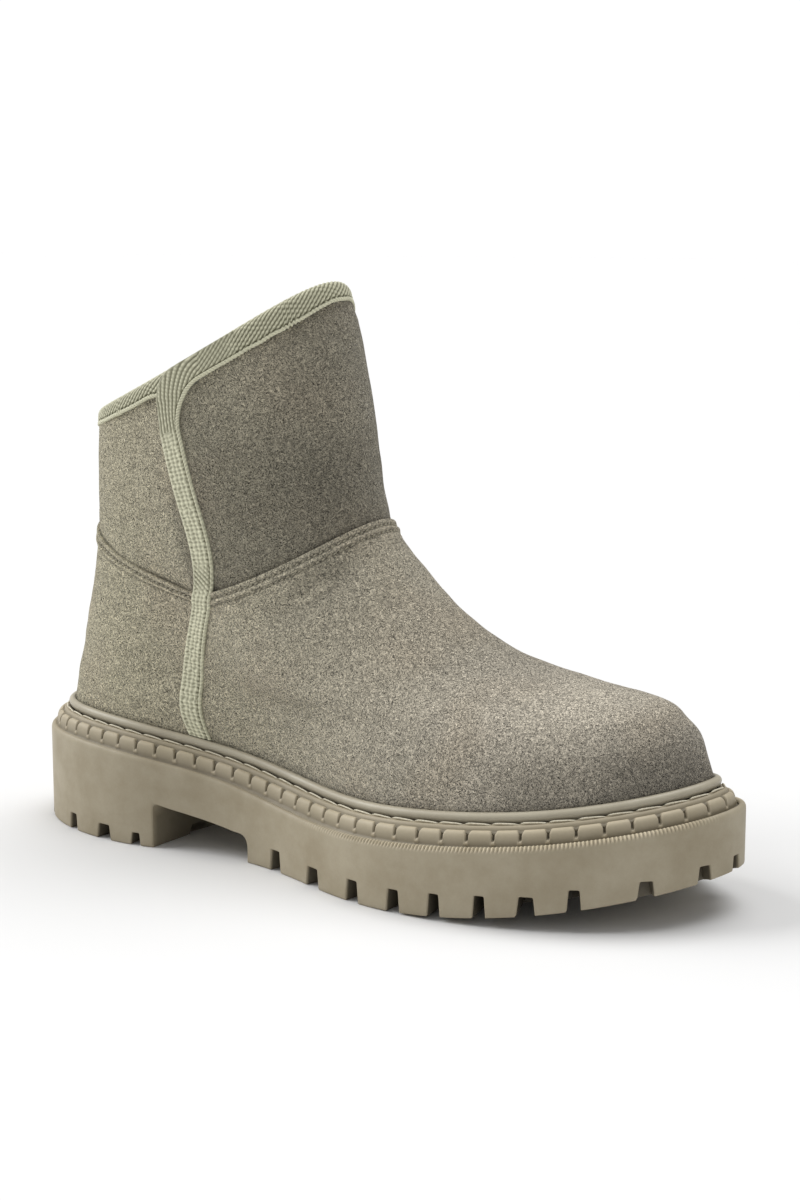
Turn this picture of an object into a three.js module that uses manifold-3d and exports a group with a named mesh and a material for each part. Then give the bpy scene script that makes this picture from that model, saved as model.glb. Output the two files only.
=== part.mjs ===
// Sheepskin ankle boot for the right foot, standing empty on its sole.
// Millimetres. +X points to the toe, +Y to the inner (medial) side of the foot, +Z up.
// The origin is on the ground, under the middle of the boot's own box.
// A place on the boot is given by an angle round it and a height along the upper.
// The angle is 0 at the middle of the heel, 90 degrees on the outer side, 180 at the toe.
// The height "up" is 0 where the upper meets the sole and 1 at the collar.

import * as THREE from 'three';
import { mergeVertices } from 'three/addons/utils/BufferGeometryUtils.js';
import ManifoldModule from 'manifold-3d';

const wasm = await ManifoldModule();
wasm.setup();

// ---------------------------------------------------------------- driving dimensions

// Rows of numbers under named columns, as one object for each row.
function table(columns, rows) {
  const names = columns.split(' ');
  return rows.map((row) => Object.fromEntries(names.map((name, i) => [name, row[i]])));
}

const SOLE_LENGTH = 286;
const TOE_SHIFT = 9.7; // how far the tip of the toe lies towards the big toe
const GAP = 0.3; // between pieces that meet
const STEPS_ROUND = 72; // points on every ring, even, so that the two sides pair up

// The sole by section, from the heel (at 0) to the toe (at 1).
// lateral, medial: half widths of the round-ended outline on the outer and inner side.
// rim: height of the rim of the unit sole. ledge: width of the ledge from the rim to the upper.
// rise: height of the line where the upper meets the sole, above the rim.
const SOLE = table('at lateral medial rim ledge rise', [
  [0.0, 70.3, 66.3, 35.1, 9.6, 11.0],
  [0.1, 61.2, 57.7, 35.1, 9.8, 11.1],
  [0.22, 51.0, 44.5, 33.1, 10.1, 11.2],
  [0.34, 38.9, 35.8, 27.8, 10.3, 11.3],
  [0.46, 41.7, 35.5, 22.4, 10.6, 11.5],
  [0.58, 54.9, 42.6, 21.7, 10.7, 11.2],
  [0.7, 64.0, 48.9, 23.7, 10.7, 10.8],
  [0.85, 69.4, 54.6, 27.9, 10.8, 10.3],
  [1.0, 72.0, 55.6, 35.3, 10.9, 9.8],
]);

// Plan of the last from heel to toe: half widths as shares of the greatest one.
const LAST = table('at lateral medial', [
  [0, 0.93, 0.87],
  [0.1, 0.83, 0.755],
  [0.25, 0.6, 0.515],
  [0.4, 0.475, 0.42],
  [0.55, 0.68, 0.505],
  [0.7, 0.9, 0.645],
  [0.85, 0.985, 0.715],
  [1.0, 1.0, 0.69],
]);

// The upper by ring, from the sole (up 0) to the collar (up 1).
// back and front: the ring's two ends. half: half width of the ring.
// foot: how much of the last's plan the ring keeps, from 1 to 0 for a plain oval.
// dip: how far the sides hang below the line from back to front. sway: shift to the inner side.
const UPPER = table('up backX backZ frontX frontZ half foot dip sway', [
  [0, -133.4, 46.1, 132.1, 45.1, 58.3, 1.0, 11.5, 0.5],
  [0.05, -132.6, 51.8, 129.4, 52.6, 57.7, 0.97, 10.9, 0.4],
  [0.1, -131.6, 57.6, 126.8, 59.3, 56.4, 0.92, 10.4, 0.3],
  [0.145, -130.5, 62.7, 121.7, 64.3, 53.9, 0.86, 10.1, 0.2],
  [0.19, -129.3, 67.6, 112.8, 68.9, 50.6, 0.79, 9.8, 0.0],
  [0.24, -128.0, 73.2, 82.0, 73.6, 48.2, 0.7, 9.6, -0.2],
  [0.32, -125.7, 82.7, 52.9, 81.5, 44.9, 0.57, 9.3, -0.5],
  [0.45, -122.7, 97.7, 29.5, 97.5, 40.3, 0.38, 9.2, -0.8],
  [0.58, -120.0, 112.7, 8.6, 118.2, 37.5, 0.22, 9.2, -0.9],
  [0.72, -118.8, 127.6, 1.0, 144.9, 36.6, 0.1, 9.2, -0.9],
  [0.86, -117.8, 142.5, -3.6, 175.5, 35.9, 0.04, 8.7, -0.9],
  [1.0, -116.5, 157.4, -12.2, 207.2, 34.7, 0.0, 7.3, -0.9],
]);
const SOLE_FADES_AT = 0.22; // height at which the last trace of the sole's own line is gone

// Suede and fleece together make the wall, thinner where the collar is bound.
const FOOT_WALL = 6;
const COLLAR_WALL = 5;
const TUCK = 4.2; // the wall runs on this far below the line where it meets the welt

// The seam that joins foot and leg: lowest at the two sides, highest at heel and instep.
const SEAM_SIDE = 0.502;
const SEAM_RISE = 0.107;
const SEAM_HALF_GAP = 0.0016;
const UPPER_RINGS = 11;
const SHAFT_RINGS = 5;
const SHAFT_SHOULDER = 0.01; // height over which the wall narrows to pass under the binding

// Bound collar. The binding's section is a band with a rounded top edge.
const BINDING_FROM = 0.957;
const BINDING_SHOULDER = 0.985;
const BINDING_CREST = 0.997;
const BINDING_ROUND = 1.1;
const BINDING_CLEAR_BELOW = 0.001;
const BINDING_CLEAR_ABOVE = 0.004;
const SHAFT_TOP = 0.983;
const BINDING_SINK = 1.0; // how far the wall is squeezed in under the binding
const BINDING_PROUD = 0.3;
const BINDING_CLOTH = 0.9;

// Tapes over the side seams: how far forward the tape's middle lies at each height.
const TAPE_WIDTH = 9.5;
const TAPE_CLOTH = 1.0;
const TAPE_FLAT_SHARE = 0.94; // share of the width that is flat, between the rounded edges
const TAPE_STATIONS = 18;
const TAPE_FROM = 0.012;
const TAPE_TO = 0.95;
const TAPE = table('up x', [
  [0.0, -56.2],
  [0.06, -58.3],
  [0.15, -59.1],
  [0.25, -57.6],
  [0.35, -54.6],
  [0.44, -50.8],
  [0.51, -48.0],
  [0.57, -47.4],
  [0.65, -49.6],
  [0.75, -54.6],
  [0.85, -59.4],
  [1.0, -66.0],
]);

// Unit sole.
const TOE_SPRING = 15.5;
const SPRING_FROM_X = 32;
const RIM_ROUND = { inset: 1.0, lift: 1.3 };
const BREAST_X = -69.2; // front face of the heel block
const ARCH_BACK_Z = 17;
const ARCH_BACK_FALL = 0.6; // how far the arch's roof drops over its rounded rear corner
const ARCH_FRONT_Z = 10.3;
const FOREPART_X = -28.5; // rear face of the forepart
const ARCH_CORNER = 5;
const LUG_GAP_DEPTH = 14;
const LUG_GAP_TAPER = 0.78;
// Gaps between the lugs on the outer side, from heel to toe; the inner side repeats them.
const LUG_GAPS = table('angle width height', [
  [23.5, 4.0, 3.0],
  [39.5, 5.2, 6.3],
  [50.0, 7.0, 5.8],
  [57.6, 4.2, 4.8],
  [84.6, 5.8, 7.8],
  [93.3, 7.4, 7.0],
  [101.8, 5.8, 7.8],
  [109.3, 5.2, 7.9],
  [116.1, 4.6, 8.0],
  [123.4, 4.4, 7.7],
  [130.9, 6.2, 6.6],
  [138.9, 4.6, 7.2],
  [152.3, 5.8, 5.8],
  [166.6, 5.6, 5.7],
  [178.7, 4.4, 5.2],
]);
const LAST_MIRRORED_GAP = 175; // a gap past this angle sits on the toe itself

// Beaded band, welt and insole. Drops are below the line where the upper meets the sole.
const BAND_BASE_INSET = 3.1;
const BAND_BASE_LIFT = RIM_ROUND.lift + GAP;
const BAND_SHOULDER_INSET = 3.3;
const BAND_SHOULDER_LIFT = 4.0;
const BAND_TOP_INSET = 6.2;
const BAND_TOP_DROP = 4.5;
const BAND_TOP_ROUND = 0.75;
// Section of the welt, whose inner face hugs the upper: out is measured from the upper's face.
const WELT = table('out drop', [
  [0.3, 4.2],
  [0.3, 0.5],
  [1.2, 0.0],
  [2.4, 0.7],
  [3.0, 2.2],
  [2.7, 4.2],
]);
const INSOLE_CLEARANCE = 1.0;
const INSOLE_TOP_DROP = 0.2;

// ---------------------------------------------------------------- curves through the tables

// Natural cubic curve through one column of a table, as a function of its key column.
function tableCurve(rows, key, column) {
  const x = rows.map((row) => row[key]);
  const y = rows.map((row) => row[column]);
  const last = rows.length - 1;
  const bend = new Array(rows.length).fill(0);
  const sweep = new Array(rows.length).fill(0);
  for (let i = 1; i < last; i++) {
    const share = (x[i] - x[i - 1]) / (x[i + 1] - x[i - 1]);
    const pivot = share * bend[i - 1] + 2;
    const slopeChange = (y[i + 1] - y[i]) / (x[i + 1] - x[i]) - (y[i] - y[i - 1]) / (x[i] - x[i - 1]);
    bend[i] = (share - 1) / pivot;
    sweep[i] = ((6 * slopeChange) / (x[i + 1] - x[i - 1]) - share * sweep[i - 1]) / pivot;
  }
  for (let i = last - 1; i > 0; i--) bend[i] = bend[i] * bend[i + 1] + sweep[i];
  bend[0] = 0;
  return (value) => {
    const v = THREE.MathUtils.clamp(value, x[0], x[last]);
    let i = 0;
    while (i < last - 1 && v >= x[i + 1]) i++;
    const width = x[i + 1] - x[i];
    const a = (x[i + 1] - v) / width;
    const b = (v - x[i]) / width;
    const curved = ((a ** 3 - a) * bend[i] + (b ** 3 - b) * bend[i + 1]) * (width * width) / 6;
    return a * y[i] + b * y[i + 1] + curved;
  };
}

function tableCurves(rows, key) {
  const columns = Object.keys(rows[0]).filter((name) => name !== key);
  return Object.fromEntries(columns.map((name) => [name, tableCurve(rows, key, name)]));
}

const sole = tableCurves(SOLE, 'at');
const last = tableCurves(LAST, 'at');
const ring = tableCurves(UPPER, 'up');
const tapeX = tableCurve(TAPE, 'up', 'x');

const radians = THREE.MathUtils.degToRad;
const mix = THREE.MathUtils.lerp;
const SMALL_STEP = 1e-3; // for slopes
const ringAngles = Array.from({ length: STEPS_ROUND }, (_, i) => (2 * Math.PI * i) / STEPS_ROUND);

// ---------------------------------------------------------------- sole outline and heights

function alongSole(x) {
  return THREE.MathUtils.clamp(x / SOLE_LENGTH + 0.5, 0, 1);
}

// Place from heel (0) to toe (1) that an angle stands for.
function lengthwise(angle) {
  return (1 - Math.cos(angle)) / 2;
}

// A table's lateral or medial column, whichever side the angle is on.
function sideValue(table, angle) {
  const side = Math.sin(angle) >= 0 ? table.lateral : table.medial;
  return side(lengthwise(angle));
}

function rawOutline(angle) {
  const at = lengthwise(angle);
  const half = sideValue(sole, angle);
  return new THREE.Vector2(SOLE_LENGTH * (at - 0.5), TOE_SHIFT * at * at - Math.sin(angle) * half);
}

// Sideways shift that puts the origin under the middle of the outline's box.
const OUTLINE_SAMPLES = 720;
const sampleStep = (2 * Math.PI) / OUTLINE_SAMPLES;
const sampledY = Array.from({ length: OUTLINE_SAMPLES }, (_, i) => rawOutline(i * sampleStep).y);
const CENTRING = -(Math.max(...sampledY) + Math.min(...sampledY)) / 2;

function outline(angle) {
  const point = rawOutline(angle);
  point.y += CENTRING;
  return point;
}

function outlineInward(angle) {
  const tangent = outline(angle + SMALL_STEP).sub(outline(angle - SMALL_STEP)).normalize();
  return new THREE.Vector2(-tangent.y, tangent.x);
}

function insetOutline(angle, inset) {
  return outline(angle).addScaledVector(outlineInward(angle), inset);
}

// A point beside the sole's edge: inset from the outline, lifted above the rim.
function edgePoint(angle, inset, lift) {
  const plan = insetOutline(angle, inset);
  const rim = sole.rim(alongSole(outline(angle).x));
  return new THREE.Vector3(plan.x, plan.y, rim + lift);
}

function ledgeWidth(angle) {
  return sole.ledge(alongSole(outline(angle).x));
}

function biteLift(angle) {
  return sole.rise(alongSole(outline(angle).x));
}

// The line where the upper meets the sole.
function bitePoint(angle) {
  return edgePoint(angle, ledgeWidth(angle), biteLift(angle));
}

function treadHeight(x) {
  const past = Math.max(0, (x - SPRING_FROM_X) / (SOLE_LENGTH / 2 - SPRING_FROM_X));
  return TOE_SPRING * past * past;
}

// ---------------------------------------------------------------- surface of the upper

function ovalPoint(up, angle) {
  const at = lengthwise(angle);
  const foot = ring.foot(up);
  const share = 1 + foot * (sideValue(last, angle) - 1);
  const x = mix(ring.backX(up), ring.frontX(up), at);
  const y = foot * TOE_SHIFT * at * at + CENTRING + ring.sway(up) - ring.half(up) * Math.sin(angle) * share;
  const z = mix(ring.backZ(up), ring.frontZ(up), at) - ring.dip(up) * 4 * at * (1 - at);
  return new THREE.Vector3(x, y, z);
}

// Outer face of the upper: the rings above, drawn onto the sole's own line at the bottom.
function skin(up, angle) {
  const point = ovalPoint(up, angle);
  const fade = Math.max(0, 1 - up / SOLE_FADES_AT) ** 2;
  if (fade > 0) point.addScaledVector(bitePoint(angle).sub(ovalPoint(0, angle)), fade);
  return point;
}

function skinNormal(up, angle) {
  const around = skin(up, angle + SMALL_STEP).sub(skin(up, angle - SMALL_STEP));
  const upward = skin(Math.min(1, up + SMALL_STEP), angle).sub(skin(Math.max(0, up - SMALL_STEP), angle));
  return around.cross(upward).normalize();
}

// The skin moved outwards (or inwards, when proud is negative).
function offsetSkin(up, angle, proud) {
  return skin(up, angle).addScaledVector(skinNormal(up, angle), proud);
}

// Angle on the outer side at which the skin lies as far forward as the tape's middle.
function tapeAngle(up) {
  const halvings = 40;
  let low = 0;
  let high = Math.PI;
  for (let i = 0; i < halvings; i++) {
    const middle = (low + high) / 2;
    if (skin(up, middle).x < tapeX(up)) low = middle;
    else high = middle;
  }
  return low;
}

function seamUp(angle) {
  return SEAM_SIDE + SEAM_RISE * Math.abs(Math.cos(angle));
}

function wallAt(up) {
  return mix(FOOT_WALL, COLLAR_WALL, THREE.MathUtils.smoothstep(up, SEAM_SIDE, BINDING_FROM));
}

// Shares from 0 to 1 that space rings evenly over the centre line at toe, instep and heel.
function evenShares(from, to, count) {
  const samples = 200;
  const lengths = [0];
  for (let i = 1; i <= samples; i++) {
    const low = mix(from, to, (i - 1) / samples);
    const high = mix(from, to, i / samples);
    const front = skin(high, Math.PI).distanceTo(skin(low, Math.PI));
    const back = skin(high, 0).distanceTo(skin(low, 0));
    lengths.push(lengths[i - 1] + front + back);
  }
  const shares = [];
  for (let k = 0; k <= count; k++) {
    const wanted = (lengths[samples] * k) / count;
    const i = Math.max(1, lengths.findIndex((length) => length >= wanted - 1e-9));
    const within = (wanted - lengths[i - 1]) / (lengths[i] - lengths[i - 1]);
    shares.push((i - 1 + within) / samples);
  }
  return shares;
}

// ---------------------------------------------------------------- solids

function geometryOf(points, triangles) {
  const geometry = new THREE.BufferGeometry();
  const coordinates = points.flatMap((p) => [p.x, p.y, p.z]);
  geometry.setAttribute('position', new THREE.Float32BufferAttribute(coordinates, 3));
  geometry.setIndex(triangles.flat());
  return geometry;
}

function signedVolume(points, triangles) {
  const cross = new THREE.Vector3();
  const six = triangles.reduce(
    (sum, [a, b, c]) => sum + points[a].dot(cross.crossVectors(points[b], points[c])), 0);
  return six / 6;
}

// Closes a loop of points by strips between the points that face each other across it.
function capTriangles(offset, count, flipped) {
  const triangles = [];
  for (let j = 0; j < count / 2; j++) {
    const near = [j, (count - j) % count];
    const far = [j + 1, count - j - 1];
    if (near[0] !== near[1]) triangles.push([near[0], near[1], far[1]]);
    if (far[0] !== far[1]) triangles.push([near[0], far[1], far[0]]);
  }
  const turned = triangles.map(([a, b, c]) => (flipped ? [a, c, b] : [a, b, c]));
  return turned.map((triangle) => triangle.map((index) => index + offset));
}

// Solid skinned over loops of equally many points. A closed chain of loops makes a hollow ring,
// an open one is capped at both ends.
function solidFromLoops(loops, closed) {
  const count = loops[0].length;
  const points = loops.flat();
  const triangles = [];
  const spans = closed ? loops.length : loops.length - 1;
  for (let i = 0; i < spans; i++) {
    const here = i * count;
    const next = ((i + 1) % loops.length) * count;
    for (let j = 0; j < count; j++) {
      const k = (j + 1) % count;
      triangles.push([here + j, here + k, next + k], [here + j, next + k, next + j]);
    }
  }
  if (!closed) {
    triangles.push(...capTriangles(0, count, false));
    triangles.push(...capTriangles((loops.length - 1) * count, count, true));
  }
  const inward = signedVolume(points, triangles) < 0;
  return geometryOf(points, inward ? triangles.map(([a, b, c]) => [a, c, b]) : triangles);
}

function loopRound(pointAt) {
  return ringAngles.map(pointAt);
}

// ---------------------------------------------------------------- joins and cuts

function manifoldOf(geometry) {
  const bare = geometry.clone();
  bare.deleteAttribute('normal');
  bare.deleteAttribute('uv');
  const merged = mergeVertices(bare, 1e-5);
  return new wasm.Manifold(new wasm.Mesh({
    numProp: 3,
    vertProperties: new Float32Array(merged.attributes.position.array),
    triVerts: new Uint32Array(merged.index.array),
  }));
}

function geometryFromManifold(manifold) {
  const { vertProperties, triVerts } = manifold.getMesh();
  const geometry = new THREE.BufferGeometry();
  geometry.setAttribute('position', new THREE.BufferAttribute(vertProperties, 3));
  geometry.setIndex(new THREE.BufferAttribute(triVerts, 1));
  return geometry;
}

// ---------------------------------------------------------------- unit sole

// The arch: open space between the heel block and the forepart, right across the sole.
function archCutter() {
  const below = -5;
  const acrossSole = 140;
  const profile = new THREE.Shape();
  profile.moveTo(BREAST_X, below);
  profile.lineTo(BREAST_X, ARCH_BACK_Z - ARCH_CORNER / 2);
  profile.quadraticCurveTo(BREAST_X, ARCH_BACK_Z, BREAST_X + ARCH_CORNER / 2, ARCH_BACK_Z - ARCH_BACK_FALL);
  profile.lineTo(FOREPART_X - ARCH_CORNER, ARCH_FRONT_Z);
  profile.quadraticCurveTo(FOREPART_X, ARCH_FRONT_Z, FOREPART_X, ARCH_FRONT_Z - ARCH_CORNER);
  profile.lineTo(FOREPART_X, below);
  profile.closePath();
  const depth = { depth: acrossSole, bevelEnabled: false, curveSegments: 4 };
  const cutter = new THREE.ExtrudeGeometry(profile, depth);
  cutter.rotateX(Math.PI / 2);
  cutter.translate(0, acrossSole / 2, 0);
  return cutter;
}

// One gap between lugs: a slot that narrows upwards, cut in from the sole's wall.
function lugGapCutter(angle, width, height) {
  const outside = 3;
  const below = 3;
  const half = width / 2;
  const halfTop = half * LUG_GAP_TAPER;
  const profile = new THREE.Shape();
  profile.moveTo(-half, -below);
  profile.lineTo(half, -below);
  profile.lineTo(halfTop, height);
  profile.lineTo(-halfTop, height);
  profile.closePath();
  const depth = { depth: LUG_GAP_DEPTH + outside, bevelEnabled: false };
  const cutter = new THREE.ExtrudeGeometry(profile, depth);
  const place = outline(angle);
  const inwardPlan = outlineInward(angle);
  const inward = new THREE.Vector3(inwardPlan.x, inwardPlan.y, 0);
  const up = new THREE.Vector3(0, 0, 1);
  const sideways = new THREE.Vector3().crossVectors(up, inward);
  cutter.translate(0, 0, -outside);
  cutter.applyMatrix4(new THREE.Matrix4().makeBasis(sideways, up, inward));
  cutter.translate(place.x, place.y, treadHeight(place.x));
  return cutter;
}

function outsoleGeometry() {
  const bottom = loopRound((angle) => {
    const plan = outline(angle);
    return new THREE.Vector3(plan.x, plan.y, treadHeight(plan.x));
  });
  const rim = loopRound((angle) => edgePoint(angle, 0, 0));
  const top = loopRound((angle) => edgePoint(angle, RIM_ROUND.inset, RIM_ROUND.lift));
  const seat = loopRound((angle) => edgePoint(angle, BAND_BASE_INSET, RIM_ROUND.lift));
  let body = manifoldOf(solidFromLoops([bottom, rim, top, seat], false));
  body = body.subtract(manifoldOf(archCutter()));
  for (const { angle, width, height } of LUG_GAPS) {
    body = body.subtract(manifoldOf(lugGapCutter(radians(angle), width, height)));
    if (angle < LAST_MIRRORED_GAP) {
      body = body.subtract(manifoldOf(lugGapCutter(radians(360 - angle), width, height)));
    }
  }
  return geometryFromManifold(body);
}

// ---------------------------------------------------------------- band, welt and insole

// The insole's outline, just inside the wall of the upper, at a drop below the bite line.
function insoleLoop(drop) {
  const beyondLedge = FOOT_WALL + INSOLE_CLEARANCE;
  return loopRound((angle) =>
    edgePoint(angle, ledgeWidth(angle) + beyondLedge, biteLift(angle) - drop));
}

function bandTop(angle) {
  return biteLift(angle) - BAND_TOP_DROP;
}

function midsoleGeometry() {
  const section = [
    { inset: BAND_BASE_INSET, lift: () => BAND_BASE_LIFT },
    { inset: BAND_SHOULDER_INSET, lift: () => BAND_SHOULDER_LIFT },
    { inset: BAND_TOP_INSET - BAND_TOP_ROUND, lift: (angle) => bandTop(angle) - BAND_TOP_ROUND },
    { inset: BAND_TOP_INSET, lift: bandTop },
  ];
  const loops = section.map(({ inset, lift }) =>
    loopRound((angle) => edgePoint(angle, inset, lift(angle))));
  loops.push(insoleLoop(BAND_TOP_DROP));
  return solidFromLoops(loops, false);
}

function weltGeometry() {
  const loops = WELT.map(({ out, drop }) =>
    loopRound((angle) => edgePoint(angle, ledgeWidth(angle) - out, biteLift(angle) - drop)));
  return solidFromLoops(loops, true);
}

function insoleGeometry() {
  return solidFromLoops([insoleLoop(TUCK), insoleLoop(INSOLE_TOP_DROP)], false);
}

// ---------------------------------------------------------------- upper and shaft

function upperGeometry() {
  const shares = evenShares(0, SEAM_SIDE + SEAM_RISE, UPPER_RINGS);
  const upAt = (share, angle) => share * (seamUp(angle) - SEAM_HALF_GAP);
  const hem = (inset) => loopRound((angle) =>
    edgePoint(angle, ledgeWidth(angle) + inset, biteLift(angle) - TUCK));
  const rings = (proud) => shares.map((share) =>
    loopRound((angle) => offsetSkin(upAt(share, angle), angle, proud)));
  const outer = rings(0);
  const inner = rings(-FOOT_WALL);
  return solidFromLoops([hem(0), ...outer, ...inner.reverse(), hem(FOOT_WALL)], true);
}

function shaftGeometry() {
  const plainTop = BINDING_FROM - SHAFT_SHOULDER;
  const upAt = (share, angle) => mix(seamUp(angle) + SEAM_HALF_GAP, plainTop, share);
  const shares = Array.from({ length: SHAFT_RINGS + 1 }, (_, i) => i / SHAFT_RINGS);
  const plainRing = (share, sink) => loopRound((angle) => {
    const up = upAt(share, angle);
    return offsetSkin(up, angle, sink(up));
  });
  const boundRing = (up, sink) => loopRound((angle) => offsetSkin(up, angle, sink));
  const outer = shares.map((share) => plainRing(share, () => 0));
  const inner = shares.map((share) => plainRing(share, (up) => -wallAt(up)));
  const squeezedIn = -COLLAR_WALL + BINDING_SINK;
  const neck = [
    boundRing(BINDING_FROM, -BINDING_SINK),
    boundRing(SHAFT_TOP, -BINDING_SINK),
    boundRing(SHAFT_TOP, squeezedIn),
    boundRing(BINDING_FROM, squeezedIn),
  ];
  return solidFromLoops([...outer, ...neck, ...inner.reverse()], true);
}

// Tape folded over the top edge of the shaft, as a section round the collar.
function collarBindingGeometry() {
  const outside = BINDING_PROUD;
  const inside = -COLLAR_WALL + BINDING_SINK - GAP - BINDING_CLOTH;
  const lapOut = outside - BINDING_CLOTH;
  const lapIn = inside + BINDING_CLOTH;
  const from = BINDING_FROM + BINDING_CLEAR_BELOW;
  const roof = SHAFT_TOP + BINDING_CLEAR_ABOVE;
  const section = [
    { up: from, proud: outside },
    { up: BINDING_SHOULDER, proud: outside },
    { up: BINDING_CREST, proud: outside - BINDING_ROUND },
    { up: 1.0, proud: (outside + inside) / 2 },
    { up: BINDING_CREST, proud: inside + BINDING_ROUND },
    { up: BINDING_SHOULDER, proud: inside },
    { up: from, proud: inside },
    { up: from, proud: lapIn },
    { up: roof, proud: lapIn },
    { up: roof, proud: lapOut },
    { up: from, proud: lapOut },
  ];
  const loops = section.map(({ up, proud }) => loopRound((angle) => offsetSkin(up, angle, proud)));
  return solidFromLoops(loops, true);
}

// Tape over a side seam: a strip cut between two offsets of the upper's surface.
function sideTapeGeometry(mirrored) {
  const across = [-1, -0.5, 0, 0.5, 1];
  const base = GAP;
  const loops = [];
  for (let i = 0; i <= TAPE_STATIONS; i++) {
    const up = mix(TAPE_FROM, TAPE_TO, i / TAPE_STATIONS);
    const middle = mirrored ? 2 * Math.PI - tapeAngle(up) : tapeAngle(up);
    const around = skin(up, middle + SMALL_STEP).distanceTo(skin(up, middle - SMALL_STEP));
    const perRadian = around / (2 * SMALL_STEP);
    const halfAngle = TAPE_WIDTH / 2 / perRadian;
    const at = (share, proud) => offsetSkin(up, middle + share * halfAngle, proud);
    const top = across.map((share) => at(share * TAPE_FLAT_SHARE, base + TAPE_CLOTH));
    const bottom = across.map((share) => at(share * TAPE_FLAT_SHARE, base)).reverse();
    const half = base + TAPE_CLOTH / 2;
    loops.push([at(-1, half), ...top, at(1, half), ...bottom]);
  }
  return solidFromLoops(loops, false);
}

// ---------------------------------------------------------------- assembly

const suede = { color: 0x9c9380, roughness: 0.95, metalness: 0 };
const webbing = { color: 0xb8b29a, roughness: 0.9, metalness: 0 };
const rubber = { color: 0xa7987c, roughness: 0.6, metalness: 0 };
const smoothBand = { color: 0xb3a78e, roughness: 0.5, metalness: 0 };
const fleece = { color: 0xd8cfba, roughness: 1, metalness: 0 };

function piece(name, geometry, finish) {
  const mesh = new THREE.Mesh(geometry, new THREE.MeshStandardMaterial(finish));
  mesh.name = name;
  return mesh;
}

const boot = new THREE.Group();
boot.name = 'sheepskin_boot';
boot.add(piece('outsole', outsoleGeometry(), rubber));
boot.add(piece('midsole', midsoleGeometry(), rubber));
boot.add(piece('welt', weltGeometry(), smoothBand));
boot.add(piece('insole', insoleGeometry(), fleece));
boot.add(piece('upper', upperGeometry(), suede));
boot.add(piece('shaft', shaftGeometry(), suede));
boot.add(piece('collar_binding', collarBindingGeometry(), webbing));
boot.add(piece('side_tape_lateral', sideTapeGeometry(false), webbing));
boot.add(piece('side_tape_medial', sideTapeGeometry(true), webbing));

export default boot;
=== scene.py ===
import math
from contextlib import contextmanager

import bmesh
import bpy
import numpy as np
from mathutils import Matrix, Vector


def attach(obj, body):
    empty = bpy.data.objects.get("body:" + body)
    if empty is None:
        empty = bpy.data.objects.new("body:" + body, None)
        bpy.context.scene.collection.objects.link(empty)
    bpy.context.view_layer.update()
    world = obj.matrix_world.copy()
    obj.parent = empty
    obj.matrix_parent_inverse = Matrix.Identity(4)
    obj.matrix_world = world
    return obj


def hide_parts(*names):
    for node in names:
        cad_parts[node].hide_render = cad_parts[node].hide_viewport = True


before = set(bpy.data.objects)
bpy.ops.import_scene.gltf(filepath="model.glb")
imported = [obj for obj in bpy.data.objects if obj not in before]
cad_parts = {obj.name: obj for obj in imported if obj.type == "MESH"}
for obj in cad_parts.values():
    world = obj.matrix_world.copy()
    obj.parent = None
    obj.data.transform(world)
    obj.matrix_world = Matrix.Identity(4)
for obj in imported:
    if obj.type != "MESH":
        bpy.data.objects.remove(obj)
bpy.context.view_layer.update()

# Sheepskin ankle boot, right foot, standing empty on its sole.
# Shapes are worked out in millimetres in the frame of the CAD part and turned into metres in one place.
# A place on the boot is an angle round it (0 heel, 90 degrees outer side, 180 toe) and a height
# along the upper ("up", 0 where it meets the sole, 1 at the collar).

MM = 0.001
TURN = 2 * math.pi
STEP = 1e-3  # small change of an angle or a height, for directions

# ---------------------------------------------------------------- driving dimensions


def table(columns, *rows):
    """Rows of numbers under named columns, as one array for each column."""
    return dict(zip(columns.split(), np.array(rows, float).T))


SOLE_LENGTH = 286
TOE_SHIFT = 9.7
TOE_SPRING = 15.5
SPRING_FROM_X = 32
SOLE = table(
    "at lateral medial rim ledge rise",
    (0.00, 70.3, 66.3, 35.1, 9.6, 11.0),
    (0.10, 61.2, 57.7, 35.1, 9.8, 11.1),
    (0.22, 51.0, 44.5, 33.1, 10.1, 11.2),
    (0.34, 38.9, 35.8, 27.8, 10.3, 11.3),
    (0.46, 41.7, 35.5, 22.4, 10.6, 11.5),
    (0.58, 54.9, 42.6, 21.7, 10.7, 11.2),
    (0.70, 64.0, 48.9, 23.7, 10.7, 10.8),
    (0.85, 69.4, 54.6, 27.9, 10.8, 10.3),
    (1.00, 72.0, 55.6, 35.3, 10.9, 9.8),
)
LAST = table(
    "at lateral medial",
    (0.00, 0.93, 0.87),
    (0.10, 0.83, 0.755),
    (0.25, 0.6, 0.515),
    (0.40, 0.475, 0.42),
    (0.55, 0.68, 0.505),
    (0.70, 0.9, 0.645),
    (0.85, 0.985, 0.715),
    (1.00, 1.0, 0.69),
)
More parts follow.
